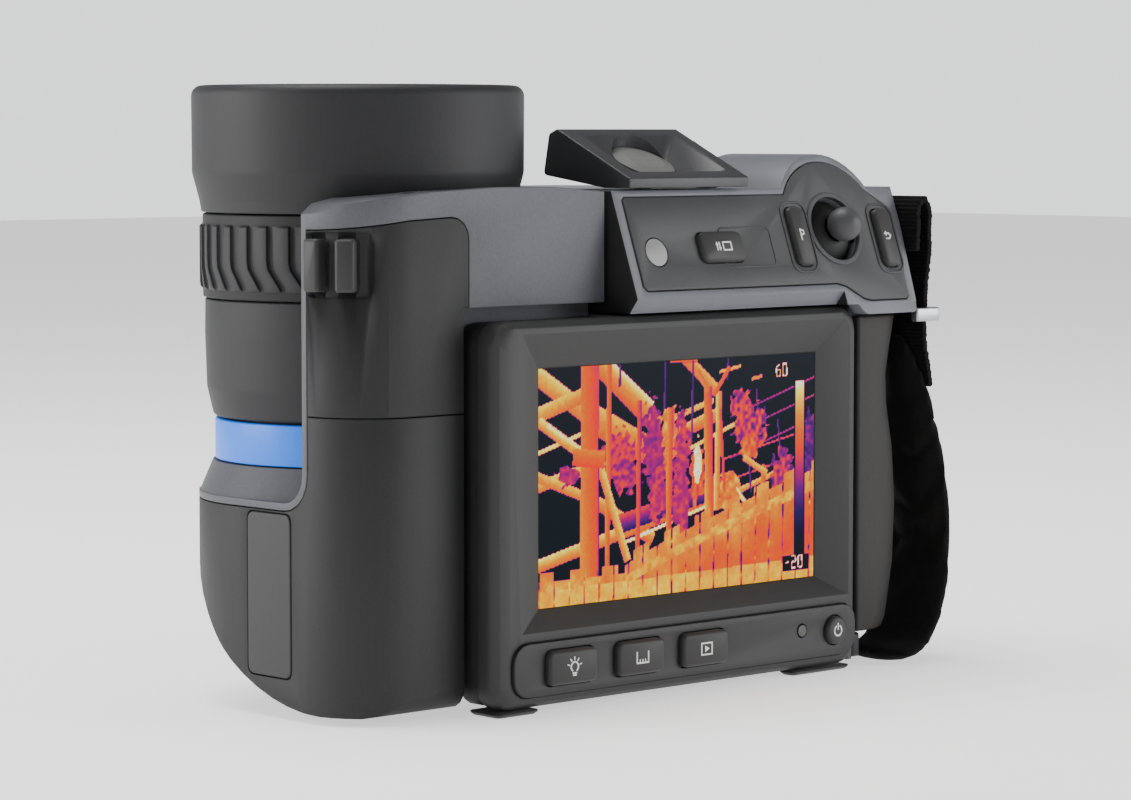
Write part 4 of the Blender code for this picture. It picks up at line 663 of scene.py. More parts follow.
# %% Lens elements
front_low, front_high = low_high("front_element")
front_r = (front_high.x - front_low.x) / 2
DOME_RISE, DOME_TURN, DOME_STEPS = 4.5 * MM, 1.2, 14
dome = [(front_r * math.sin(a),
         front_high.z - DOME_RISE * (1 - math.cos(a)) / (1 - math.cos(DOME_TURN)))
        for a in [DOME_TURN * i / DOME_STEPS for i in range(DOME_STEPS + 1)]]
front = spun("germanium_front", [(0, front_low.z), (front_r, front_low.z), *dome[::-1]],
             germanium, lens_axis, 96)
stands_for(front, "front_element")
rear_low, rear_high = low_high("rear_element")
rear_r = (rear_high.x - rear_low.x) / 2
rear = spun("germanium_rear", [(0, rear_low.z), (rear_r, rear_low.z), (rear_r, rear_low.z + 4 * MM),
                               (rear_r * 0.6, rear_high.z - 0.8 * MM), (0, rear_high.z)],
            germanium, lens_axis, 96)
stands_for(rear, "rear_element")
print("front lens width in mm:", round(2 * front_r / MM, 1))

# %% [markdown]
# ## Finishes for the plain pieces
# Every piece of the working model first gets the finish of its own material slot.  What is made
# again further down keeps the same finish, so the two always agree.

# %% Finishes by slot
web_nylon = moulded("woven_black_nylon", "#030303", "#0b0a0a", 0.85, 0.35, 0.12, 6.0)
pad_cloth = moulded("neoprene_pad_cloth", "#060505", "#100e0d", 0.80, 0.5, 0.10, 12.0)
FINISH_OF = {
    "dark_cover": dark_shell, "grey_shell": spray_coat, "light_frame": light_shell,
    "bezel": bezel_shell, "panel": panel_shell, "key_rubber": silicone,
    "grip_rubber": grip_skin, "blue_band": blue_paint, "lens_black": lens_armour,
    "germanium": germanium, "clear_glass": dark_window, "bright_metal": bright_bar,
    "dark_metal": dark_metal, "circuit_board": solder_mask, "webbing": web_nylon,
    "soft_pad": pad_cloth,
}
for node, plain in frame["nodes"].items():
    plain.data.materials.clear()
    plain.data.materials.append(FINISH_OF[slot_of[node]])
for cloth in (web_nylon, pad_cloth):
    cloth.node_tree.nodes["Principled BSDF"].inputs["Sheen Weight"].default_value = 0.03
    cloth.node_tree.nodes["Principled BSDF"].inputs["Specular IOR Level"].default_value = 0.12
print("plain pieces dressed:", len(frame["nodes"]))

# %% [markdown]
# ## Shells with rounded edges
# The big shells keep the shape of the working model.  Rounding their edges is what makes them
# look moulded: each edge then catches a thin line of light.

# %% Soft-edged shells
EDGES = {
    "display_frame": (0.9, 4), "key_strip": (0.35, 3), "display_back": (1.0, 3),
    "upper_cover": (0.35, 2), "lower_cover": (0.35, 2), "side_plate": (0.3, 3),
    "main_housing": (0.6, 2), "top_cover": (0.7, 3), "control_panel": (0.45, 3),
    "grip_cover": (0.8, 3), "strap_loop": (0.4, 3),
    "socket_door": (0.8, 3), "shutter_trigger": (0.6, 3), "battery": (0.6, 2),
    "foot_near_left": (0.5, 2), "foot_near_right": (0.5, 2), "foot_far_left": (0.5, 2),
    "foot_far_right": (0.5, 2), "stick_boot": (0.5, 3), "battery_latch": (0.3, 2),
}
OWN_FINISH = {"side_plate": bezel_shell, "stick_boot": rib_rubber_and_painted_shade}
KEYS = ("light_key", "measure_key", "gallery_key", "power_key", "mode_key", "program_key",
        "back_key", "near_side_key", "far_side_key")
EDGES.update({key: (0.8, 3) for key in KEYS})
shells = {}
for node, (width, steps) in EDGES.items():
    finish = OWN_FINISH.get(node, FINISH_OF[slot_of[node]])
    shells[node] = softened(node, width * MM, finish, steps)
# The top cover's faces that face -X take the dark rubber: painted shade, for the shadow the block casts
# on that end.
cover_mesh = shells["top_cover"].data
cover_mesh.materials.append(rib_rubber_and_painted_shade)
for face in cover_mesh.polygons:
    if face.normal.x < -0.9:
        face.material_index = 1
print("soft-edged shells:", len(shells))


# %% [markdown]
# ## Pocket of the side keys
# The two side keys lie in one shallow pocket that wraps round the block's corner.  The cutter is
# a slab bent round the same corner; its ends are drawn in so that the pocket's corners are round.


# %% Side key pocket
def bent_slab(name, centre, radii, turns, heights, corner, steps=20):
    """A slab bent round a vertical axis, with round corners; angles in degrees."""
    shape = bmesh.new()
    columns = []
    wide = math.radians(turns[1] - turns[0]) * radii[1]
    for i in range(steps + 1):
        share = i / steps
        angle = math.radians(turns[0] + (turns[1] - turns[0]) * share)
        away = max(0, corner - wide * min(share, 1 - share))
        cut = corner - math.sqrt(max(corner ** 2 - away ** 2, 0))
        columns.append([shape.verts.new((centre.x + r * math.cos(angle),
                                         centre.y + r * math.sin(angle), z))
                        for r, z in ((radii[0], heights[0] + cut), (radii[1], heights[0] + cut),
                                     (radii[1], heights[1] - cut), (radii[0], heights[1] - cut))])
    for left, right in zip(columns, columns[1:]):
        for i in range(4):
            shape.faces.new((left[i - 1], left[i], right[i], right[i - 1]))
    shape.faces.new(columns[0])
    shape.faces.new(columns[-1])
    bmesh.ops.recalc_face_normals(shape, faces=shape.faces)
    return new_piece(name, shape, dark_shell)


cover_low = low_high("upper_cover")[0]
CORNER_R = 18 * MM
corner_at = Vector((cover_low.x + CORNER_R, cover_low.y + CORNER_R, 0))
near_low, near_high = low_high("near_side_key")
POCKET_DEEP, POCKET_CORNER = 1.5 * MM, 2.6 * MM
POCKET_BELOW, POCKET_ABOVE = 1.5 * MM, 1.6 * MM     # past the keys' ends
POCKET_TURNS = (179, 237)                           # degrees round the block's corner
pocket = bent_slab("key_pocket", corner_at, (CORNER_R - POCKET_DEEP, CORNER_R + 3 * MM),
                   POCKET_TURNS, (near_low.z - POCKET_BELOW, near_high.z + POCKET_ABOVE),
                   POCKET_CORNER)
cut_with(shells["upper_cover"], pocket)
shaded(shells["upper_cover"].data, 35)
pocket_tall = near_high.z - near_low.z + POCKET_BELOW + POCKET_ABOVE
print("pocket height in mm:", round(pocket_tall / MM, 1))


# %% The block's casting
TOP_ROUND = 2.2 * MM


def casting():
    """The block's frame with a generously rounded top."""
    shape = merged_copy("block_frame")
    high = low_high("block_frame")[1].z
    clear = hood_r + MM
    rim = [edge for edge in shape.edges
           if all(v.co.z > high - 0.02 * MM for v in edge.verts)
           and ((edge.verts[0].co + edge.verts[1].co) / 2 - lens_axis).xy.length > clear
           and max(v.co.y for v in edge.verts) < lens_axis.y - 18 * MM]
    bmesh.ops.bevel(shape, geom=rim, offset=TOP_ROUND, segments=5, affect="EDGES", profile=0.5,
                    clamp_overlap=True)
    piece = new_piece("block_casting", shape, spray_coat)
    round_edges(piece, 0.5 * MM, 3, 40)
    shaded(piece.data, 42)
    return stands_for(piece, "block_frame")


casting()

# %% [markdown]
# ## Print and marks
# Keys carry small white symbols.  Each one is a thin layer of ink, 0.06 mm thick, standing on
# the key's face.  `facing` gives the place on a key's front, so a symbol is drawn flat on local
# X and Y and lands on the key whatever its tilt is.

# %% Places on the faces
PANEL_TILT = math.radians(20)
INK = 0.06 * MM


def facing(node, tilt=0.0):
    """Matrix on the front of a key: X to the right, Y up its face, Z out of it."""
    turn = Matrix.Rotation(math.pi / 2 - tilt, 4, "X")
    out = turn.col[2].xyz
    centre = middle(node)
    reach = max((v.co - centre).dot(out) for v in frame["nodes"][node].data.vertices)
    return Matrix.Translation(centre + out * reach) @ turn


def stroke(points, width, closed=False):
    """Flat bars that follow a line of points, as a list of outlines."""
    ends = zip(points, points[1:] + points[:1]) if closed else zip(points, points[1:])
    bars = []
    for a, b in ends:
        a, b = Vector(a), Vector(b)
        along = (b - a).normalized() * width / 2
        across = Vector((-along.y, along.x))
        bars.append([tuple(p) for p in (a - along - across, b + along - across,
                                        b + along + across, a - along + across)])
    return bars


def ring_of(radius, start=0, end=360, steps=20):
    """Points on part of a circle, angles in degrees."""
    turns = [math.radians(start + (end - start) * i / steps) for i in range(steps + 1)]
    return [(radius * math.cos(a), radius * math.sin(a)) for a in turns]


def symbol(name, node, outlines, shift=(0, 0), tilt=0.0):
    """Ink outlines, in millimetres, printed on a key's face."""
    place = facing(node, tilt) @ Matrix.Translation((shift[0] * MM, shift[1] * MM, 0))
    parts = []
    for i, outline in enumerate(outlines):
        flat = [(x * MM, y * MM) for x, y in outline]
        lift = INK * 0.02 * (i % 5)
        parts.append(pushed(f"{name}_{i}", flat, -INK, INK + lift, place, ink))
    return stands_for(joined(name, parts), body=body_of[node])


# %% Symbols on the keys
LINE = 0.38
bulb = stroke(ring_of(1.15, -50, 230), LINE) + stroke([(-0.5, -1.5), (0.5, -1.5)], LINE)
bulb += stroke([(-0.4, -2.0), (0.4, -2.0)], LINE)
bulb += [bar for a in (15, 55, 90, 125, 165)
         for bar in stroke([tuple(1.75 * c for c in ring_of(1, a, a, 1)[0]),
                            tuple(2.3 * c for c in ring_of(1, a, a, 1)[0])], LINE * 0.8)]
symbol("mark_light", "light_key", bulb)
ruler = stroke([(-1.9, 1.3), (-1.9, -1.3), (1.9, -1.3), (1.9, 1.3)], LINE)
ruler += [bar for x in (-0.9, 0.0, 0.9) for bar in stroke([(x, -1.3), (x, -0.5)], LINE * 0.8)]
symbol("mark_measure", "measure_key", ruler)
gallery = stroke([(-1.8, -1.4), (1.8, -1.4), (1.8, 1.4), (-1.8, 1.4)], LINE, True)
gallery += [[(-0.6, -0.8), (0.9, 0.0), (-0.6, 0.8)]]
symbol("mark_gallery", "gallery_key", gallery)
power = stroke(ring_of(1.3, 120, 420), LINE) + stroke([(0, 0.3), (0, 1.8)], LINE)
symbol("mark_power", "power_key", power)
swap = stroke([(-3.3, -0.9), (-3.3, 0.6)], LINE) + stroke([(-2.4, -0.6), (-2.4, 0.9)], LINE)
swap += [[(-3.8, 0.3), (-2.8, 0.3), (-3.3, 1.2)], [(-2.9, -0.3), (-1.9, -0.3), (-2.4, -1.2)]]
swap += stroke([(-1.2, -1.0), (1.6, -1.0), (1.6, 1.0), (-1.2, 1.0)], LINE, True)
symbol("mark_mode", "mode_key", swap, (1.0, 0), PANEL_TILT)
flag = stroke([(-0.5, -1.3), (-0.5, 1.4), (0.6, 1.0), (0.6, 0.2), (-0.5, -0.1)], LINE)
symbol("mark_program", "program_key", flag, (0, 0.2), PANEL_TILT)
back = stroke([(-0.9, 0.7), (0.3, 0.7), (0.9, 0.1), (0.3, -0.7), (-0.7, -0.7)], LINE)
back += [[(-0.5, 1.4), (-1.5, 0.7), (-0.5, 0.0)]]
symbol("mark_back", "back_key", back, (0, 0.2), PANEL_TILT)


# %% [markdown]
# ## Lips and rings
# A fine raised lip runs round the tall keys, round the stick's opening and beside the mode key.
# They are under half a millimetre high, yet their lit and shaded sides draw clear lines.

# %% Lips on the panel
def lip(name, inner, outer, low, high, place, finish, body):
    """A flat ring between two outlines with the same number of points."""
    shape = bmesh.new()
    rows = []
    for outline, z in ((inner, low), (inner, high), (outer, high), (outer, low)):
        rows.append([shape.verts.new((x, y, z)) for x, y in outline])
    for row, after in zip(rows, rows[1:] + rows[:1]):
        for i in range(len(row)):
            shape.faces.new((row[i - 1], row[i], after[i], after[i - 1]))
    shape.transform(place)
    bmesh.ops.recalc_face_normals(shape, faces=shape.faces)
    piece = new_piece(name, shape, finish)
    round_edges(piece, (high - low) * 0.3, 2)
    return stands_for(piece, body=body)


def flush(node, tilt, proud):
    """Place on a key's front, brought back to the shell round it."""
    return facing(node, tilt) @ Matrix.Translation((0, 0, -proud))


PANEL_PROUD = 1.4 * MM          # how far the panel's keys stand out
TALL_KEY = 15.4 * MM            # a tall key's length along the tilted panel
LIP_ROOT = -0.2 * MM            # lips start a little inside the shell
STICK_FACE = 7.3 * MM           # from the stick's pivot out to the panel
for key in ("program_key", "back_key"):
    low, high = low_high(key)
    wide = high.x - low.x
    lip(f"lip_{key}", oblong(wide + 2.4 * MM, TALL_KEY + 2.4 * MM, 2.6 * MM),
        oblong(wide + 3.6 * MM, TALL_KEY + 3.6 * MM, 3.2 * MM), LIP_ROOT, 0.3 * MM,
        flush(key, PANEL_TILT, PANEL_PROUD), panel_shell, "main_body")
beside = Matrix.Translation((9.6 * MM, 0, 0))
lip("lip_mode", oblong(17.6 * MM, 9.8 * MM, 1.4 * MM), oblong(18.4 * MM, 10.6 * MM, 1.8 * MM),
    LIP_ROOT, 0.18 * MM, flush("mode_key", PANEL_TILT, PANEL_PROUD) @ beside, panel_shell,
    "main_body")
ball = middle("stick_gimbal")
stick_turn = Matrix.Rotation(math.pi / 2 - PANEL_TILT, 4, "X")
stick_face = Matrix.Translation(ball + stick_turn.col[2].xyz * STICK_FACE) @ stick_turn
lip("lip_stick", ring_of(8.4 * MM, 0, 352.5, 47), ring_of(9.7 * MM, 0, 352.5, 47), -0.3 * MM,
    0.4 * MM, stick_face, panel_shell, "main_body")


# %% Control stick
def spun_on(name, profile, finish, place, steps=48):
    """A turned profile, made round its own axis and then placed."""
    piece = spun(name, profile, finish, Vector((0, 0, 0)), steps)
    piece.data.transform(place)
    return piece


cap_r = 4.4 * MM
stick_pivot = Matrix.Translation(ball) @ stick_turn
cap_z = 10.9 * MM
cap_profile = [(cap_r * math.cos(a), cap_z + cap_r * math.sin(a))
               for a in [math.radians(-66 + 156 * i / 18) for i in range(18)]]
cap = spun_on("stick_cap", [(1.8 * MM, cap_z - 0.9 * cap_r), *cap_profile,
                            (0, cap_z + cap_r), (0, cap_z), (1.8 * MM, cap_z)], stick_rubber_painted_light,
              stick_pivot)
stands_for(cap, "stick_ball")
print("stick cap width in mm:", round(2 * cap_r / MM, 1))

# %% [markdown]
# ## Viewfinder
# The viewfinder is a wedge of soft rubber.  Its sloped face holds a dish whose broad walls lead
# down to the eyepiece, so that a nose or an eyebrow does not touch the glass.


# %% Viewfinder hood
def wedge_hood():
    """The wedge, its dish and the bore over the eyepiece."""
    low, high = low_high("viewfinder_hood")
    lean, edge = math.radians(25.9), 1.8 * MM
    length = (high.y - low.y - 5 * MM) / math.cos(lean)
    ridge = Vector((low.y + length * math.cos(lean), low.z + edge + length * math.sin(lean)))
    side = rounded([(low.y, low.z, 0), (low.y + 9 * MM, low.z, 0), (high.y, low.z + 3 * MM, MM),
                    (ridge.x + 3 * MM, ridge.y - 1.2 * MM, MM), (ridge.x, ridge.y, MM),
                    (low.y, low.z + edge + 0.6 * MM, 0)], 3)
    upright = Matrix(((0, 0, 1, 0), (1, 0, 0, 0), (0, 1, 0, 0), (0, 0, 0, 1)))
    hood = pushed("eye_hood", side, low.x, high.x, upright, eye_rubber_painted_sheen)
    face = Matrix.Translation((low.x, low.y, low.z + edge)) @ Matrix.Rotation(lean, 4, "X")
    wide, rim = high.x - low.x, 4.2 * MM
    shape = bmesh.new()
    rings = []
    for box, z in (((rim, rim * 0.9, wide - rim, length - rim * 0.8), 0.9 * MM),
                   ((rim, rim * 0.9, wide - rim, length - rim * 0.8), 0.4 * MM),
                   ((rim + 7.5 * MM, rim + 1.6 * MM, wide - rim - 7.5 * MM,
                     length - rim - 6 * MM), -3.4 * MM)):
        outline = rounded([(box[0], box[1], 1.5 * MM), (box[2], box[1], 1.5 * MM),
                           (box[2], box[3], 1.5 * MM), (box[0], box[3], 1.5 * MM)], 5)
        rings.append([shape.verts.new((x, y, z)) for x, y in outline])
    for a, b in zip(rings, rings[1:]):
        for i in range(len(a)):
            shape.faces.new((a[i - 1], a[i], b[i], b[i - 1]))
    shape.faces.new(rings[0])
    shape.faces.new(rings[-1])
    shape.transform(face)
    bmesh.ops.recalc_face_normals(shape, faces=shape.faces)
    dish = new_piece("eye_dish", shape, eye_rubber_painted_sheen)
    round_edges(hood, 1.3 * MM, 4, 25)
    eye_low, eye_high = low_high("eye_lens")
    centre = (eye_low + eye_high) / 2
    bore = spun_on("eye_bore", [(0, -1.6 * MM), (8.75 * MM, -1.6 * MM), (8.75 * MM, 9 * MM),
                                (0, 9 * MM)], rib_rubber_and_painted_shade,
                   Matrix.Translation(centre) @ Matrix.Rotation(lean, 4, "X"), 64)
    cut_with(hood, dish, bore)
    round_edges(hood, 0.35 * MM, 2, 30)
    shaded(hood.data, 38)
    return stands_for(hood, "viewfinder_hood")


wedge_hood()
eye_low, eye_high = low_high("eye_lens")
print("eyepiece width in mm:", round((eye_high.x - eye_low.x) / MM, 1))

# %% Windows and lamp
for node, finish in (("eye_lens", milky_lens), ("light_sensor", frosted)):
    frame["nodes"][node].data.materials[0] = finish
frame["nodes"]["screen_glass"].data.materials[0] = display_glass
frame["nodes"]["status_lamp"].data.materials[0] = moulded("lamp_lens", "#3c3c3a", "#46463f", 0.3,
                                                          0.5, 0.01)
print("windows done")

# %% [markdown]
# ## The picture on the display
# A thermal picture is a field of temperatures shown through a colour table.  So the display holds
# just that: a fine grid of points with one value each, called warmth, and a colour ramp that goes
# from black over violet, red and orange to white.  The scene is a switchyard seen against a cold
# sky: warm posts and beams, cooler insulators, wires and a slatted fence in front.


# %% Heat painter
COLUMNS, ROWS = 300, 180
across, up = np.meshgrid(np.linspace(0, 1, COLUMNS), np.linspace(0, 1, ROWS))
heat = np.full((ROWS, COLUMNS), 0.03) + 0.02 * up
RATIO = (glass_high.z - glass_low.z) / (glass_high.x - glass_low.x)


def cover(mask, value):
    """Set the heat where the mask is true."""
    heat[mask] = np.clip(np.broadcast_to(value, heat.shape)[mask], 0, 1)


def rough(seed, size, depth):
    """A soft random field with features of a size given in grid steps."""
    dice = np.random.default_rng(seed)
    rows, columns = ROWS // size + 2, COLUMNS // size + 2
    coarse = dice.random((rows, columns))
    y, x = np.arange(ROWS) / size, np.arange(COLUMNS) / size
    iy, ix = y.astype(int), x.astype(int)
    fy, fx = (y - iy)[:, None], (x - ix)[None, :]
    a, b = coarse[np.ix_(iy, ix)], coarse[np.ix_(iy, ix + 1)]
    c, d = coarse[np.ix_(iy + 1, ix)], coarse[np.ix_(iy + 1, ix + 1)]
    return depth * ((a * (1 - fx) + b * fx) * (1 - fy) + (c * (1 - fx) + d * fx) * fy - 0.5)


def beam(x0, y0, x1, y1, width, value, shade=0.08, value_end=None):
    """A straight member between two places, given in shares of the picture."""
    dx, dy = x1 - x0, (y1 - y0) * RATIO
    length = math.hypot(dx, dy)
    px, py = across - x0, (up - y0) * RATIO
    along = (px * dx + py * dy) / length
    side = (py * dx - px * dy) / length
    inside = (along > 0) & (along < length) & (np.abs(side) < width / 2)
    end = value if value_end is None else value_end
    cover(inside, value + (end - value) * along / length + shade * side / width * 2)


def blob(x, y, wide, high, value, grain=0.2, seed=1):
    """A ragged warm mass such as an insulator."""
    inside = ((across - x) / wide) ** 2 + ((up - y) / high) ** 2 < 1 + rough(seed, 4, 1.6)
    cover(inside, value + rough(seed + 1, 3, grain))


def glyph(text, x, y, size):
    """Small numbers on a black label, drawn as strokes on a grid of 2 by 4."""
    strokes = {"6": ((1, 4, 0, 3), (0, 3, 0, 0), (0, 0, 1, 0), (1, 0, 1, 2), (1, 2, 0, 2)),
               "0": ((0, 0, 0, 4), (0, 4, 1, 4), (1, 4, 1, 0), (1, 0, 0, 0)),
               "2": ((0, 4, 1, 4), (1, 4, 1, 2), (1, 2, 0, 2), (0, 2, 0, 0), (0, 0, 1, 0)),
               "-": ((0.1, 2, 0.9, 2),)}
    for i, letter in enumerate(text):
        left = x + i * 1.7 * size
        for x0, y0, x1, y1 in strokes[letter]:
            beam(left + x0 * size - 0.001, y + y0 * size * 0.9, left + x1 * size + 0.001,
                 y + y1 * size * 0.9 + 0.002, size * 0.34, 1.0, 0)


# %% The switchyard
GLOW = rough(3, 14, 0.16)
# beams high at the left, from the sky corner down to the middle
for member in (
        (-0.05, 1.02, 0.24, 0.72, 0.05, 0.86, 0.10, 0.80),
        (0.18, 1.04, 0.42, 0.72, 0.055, 0.80, 0.14, 0.72),
        (0.24, 1.02, 0.40, 0.82, 0.014, 0.95, 0.05),
        (-0.02, 0.80, 0.16, 0.88, 0.04, 0.85, 0.10, 0.78),
        (-0.02, 0.64, 0.20, 0.74, 0.012, 0.93, 0.03), (0.0, 0.78, 0.22, 0.56, 0.03, 0.86, 0.10),
        (0.03, 0.76, 0.14, 0.66, 0.010, 0.96, 0.02),
        (0.16, 0.80, 0.46, 0.56, 0.075, 0.80, 0.12, 0.72),
        (-0.02, 0.50, 0.30, 0.62, 0.03, 0.84, 0.12), (-0.02, 0.56, 0.24, 0.40, 0.028, 0.82, 0.10),
        (0.18, 0.44, 0.40, 0.24, 0.036, 0.78, 0.14),
        (-0.02, 0.17, 0.72, 0.44, 0.035, 0.84, 0.14, 0.78),
        (0.30, 0.24, 0.74, 0.42, 0.010, 0.97, 0.02), (0.28, 0.32, 0.66, 0.44, 0.05, 0.42, 0.20),
        (0.44, 0.74, 0.62, 0.82, 0.016, 0.88, 0.05), (0.44, 0.66, 0.64, 0.76, 0.036, 0.78, 0.14),
        (0.50, 0.60, 0.72, 0.72, 0.012, 0.9, 0.04), (0.50, 1.03, 0.63, 0.86, 0.036, 0.78, 0.10),
        (0.46, 1.01, 0.56, 1.00, 0.020, 0.72, 0.10), (0.64, 0.94, 0.72, 0.96, 0.010, 0.86, 0.05),
        (0.68, 0.40, 0.90, 0.50, 0.016, 0.84, 0.08), (0.67, 0.48, 0.74, 0.36, 0.014, 0.95, 0.05),
        (0.66, 0.56, 0.98, 0.66, 0.006, 0.60, 0.05), (0.66, 0.46, 0.98, 0.56, 0.006, 0.60, 0.05)):
    beam(*member)
# wires and thin verticals on the right
for x, y, end in ((0.44, 0.72, 1.0), (0.54, 0.66, 1.0), (0.67, 0.90, 1.0), (0.28, 0.90, 1.0)):
    beam(x, y, x + 0.004, end, 0.008, 0.34, 0.10)
for x, y, end in ((0.79, 0.62, 0.86), (0.82, 0.64, 0.78), (0.87, 0.58, 0.72), (0.76, 0.40, 0.62)):
    beam(x, y, x - 0.01, end, 0.007, 0.36, 0.10)
for y in (0.78, 0.70, 0.60):
    beam(0.68, y - 0.04, 1.02, y + 0.12, 0.006, 0.44, 0.10, 0.52)
beam(0.76, 0.90, 0.80, 0.91, 0.010, 0.80, 0.02)
# insulators: magenta and violet masses
for mass in (
        (0.27, 0.62, 0.055, 0.10, 0.52, 0.25, 11), (0.30, 0.54, 0.045, 0.10, 0.50, 0.30, 13),
        (0.40, 0.62, 0.040, 0.20, 0.46, 0.18, 15), (0.42, 0.44, 0.036, 0.12, 0.50, 0.22, 17),
        (0.50, 0.58, 0.036, 0.18, 0.50, 0.22, 19), (0.50, 0.38, 0.030, 0.13, 0.50, 0.20, 21),
        (0.46, 0.70, 0.026, 0.12, 0.80, 0.24, 23), (0.56, 0.50, 0.030, 0.12, 0.62, 0.34, 25),
        (0.56, 0.56, 0.016, 0.09, 0.97, 0.10, 27), (0.725, 0.79, 0.040, 0.07, 0.48, 0.45, 29),
        (0.76, 0.70, 0.055, 0.10, 0.54, 0.50, 31), (0.75, 0.60, 0.040, 0.05, 0.64, 0.40, 33),
        (0.88, 0.48, 0.045, 0.10, 0.48, 0.40, 35), (0.67, 0.40, 0.040, 0.10, 0.78, 0.30, 37),
        (0.99, 0.60, 0.030, 0.16, 0.36, 0.24, 39), (0.10, 0.545, 0.040, 0.045, 0.45, 0.20, 41)):
    blob(*mass)
# posts
for member in (
        (0.605, 0.30, 0.598, 0.88, 0.032, 0.74, 0.16, 0.62),
        (0.630, 0.34, 0.640, 0.86, 0.022, 0.82, 0.12),
        (0.66, 0.42, 0.645, 0.78, 0.010, 0.60, 0.05), (0.60, 0.86, 0.56, 0.95, 0.016, 0.74, 0.08),
        (0.62, 0.84, 0.68, 0.96, 0.014, 0.66, 0.08), (0.80, 0.36, 0.81, 0.52, 0.018, 0.70, 0.10),
        (0.73, 0.56, 0.82, 0.48, 0.018, 0.84, 0.08),
        (0.345, 0.20, 0.352, 0.84, 0.016, 0.62, 0.10, 0.52),
        (0.455, 0.18, 0.462, 0.80, 0.022, 0.66, 0.16),
        (0.235, -0.05, 0.245, 1.02, 0.018, 0.72, 0.12, 0.66),
        (0.21, 0.58, 0.31, 0.16, 0.026, 0.84, 0.10), (0.205, 0.0, 0.205, 0.62, 0.010, 0.40, 0.10),
        (0.172, -0.05, 0.178, 1.02, 0.062, 0.74, 0.10, 0.62),
        (0.118, 0.62, 0.228, 0.60, 0.045, 0.68, 0.10)):
    beam(*member)
# fence: slats with a rail that rises to the right, and cold gaps
top_line = 0.16 + 0.34 * np.clip((across - 0.30) / 0.7, 0, 1) ** 0.85
top_line = np.where(across < 0.30, 0.13, top_line)
slat = (across * 19.2 + 0.22 * (1 - up) * across) % 1
fence = (up < top_line + 0.02 * np.sign(np.sin(across * 57))) & (slat > 0.10)
cover(fence, 0.73 + 0.09 * np.cos(up * 9 - across * 5) + GLOW + rough(5, 5, 0.06))
gap = (up < top_line - 0.02) & (slat <= 0.10)
cover(gap, 0.55 + rough(7, 4, 0.9))
rail = np.abs(up - top_line + 0.09) < 0.022
cover(rail & (across > 0.3), 0.82 + rough(9, 4, 0.16))
cover((up < 0.07 + 0.02 * across) & fence, 0.86 + rough(43, 6, 0.08))
heat += rough(45, 2, 0.05) * (heat > 0.3)
# colour scale with its two labels
cover((np.abs(across - 0.945) < 0.021) & (up > 0.10) & (up < 0.885), 0.0)
cover((np.abs(across - 0.945) < 0.018) & (up > 0.115) & (up < 0.88), (up - 0.115) / 0.765)
cover((np.abs(across - 0.895) < 0.07) & (np.abs(up - 0.925) < 0.03), 0.0)
glyph("60", 0.855, 0.905, 0.0145)
cover((np.abs(across - 0.93) < 0.05) & (np.abs(up - 0.07) < 0.035), 0.0)
glyph("-20", 0.892, 0.047, 0.0145)
print("heat field:", heat.shape, "from", round(float(heat.min()), 2), "to",
      round(float(heat.max()), 2))


# %% [markdown]
# ## The display's layers
# The picture is drawn by a thin lit layer directly behind the cover glass in a real display.
# Here a thin panel stands in for that layer, just in front of the glass and nearly without gloss,
# so that nothing reflected lies over the picture.

# %% Display picture
def colour_table():
    """A glowing finish that turns heat into the colours of a thermal picture."""
    made, tree, shader = finish_start("thermal_picture", "#05070a", 0.25)
    value = put(tree, "ShaderNodeAttribute", attribute_name="warmth")
    ramp = put(tree, "ShaderNodeValToRGB", {"Fac": value.outputs["Fac"]})
    # each stop is stronger than the colour it shows, because a render's tone curve pales a light
    stops = ((0.0, "#000a13"), (0.06, "#000b18"), (0.12, "#05002b"), (0.25, "#1e0055"),
             (0.38, "#5c0073"), (0.5, "#b1005c"), (0.6, "#f02600"), (0.7, "#e25a00"),
             (0.8, "#ea8200"), (0.88, "#fabf00"), (0.95, "#fff95f"), (1.0, "#ffffff"))
    while len(ramp.color_ramp.elements) < len(stops):
        ramp.color_ramp.elements.new(0.5)
    for entry, (place, hex_code) in zip(ramp.color_ramp.elements, stops):
        entry.position = place
        entry.color = tint(hex_code)
    tree.links.new(ramp.outputs["Color"], shader.inputs["Emission Color"])
    shader.inputs["Emission Strength"].default_value = 1.35
    shader.inputs["Base Color"].default_value = tint("#020303")
    shader.inputs["Specular IOR Level"].default_value = 0.04
    return made


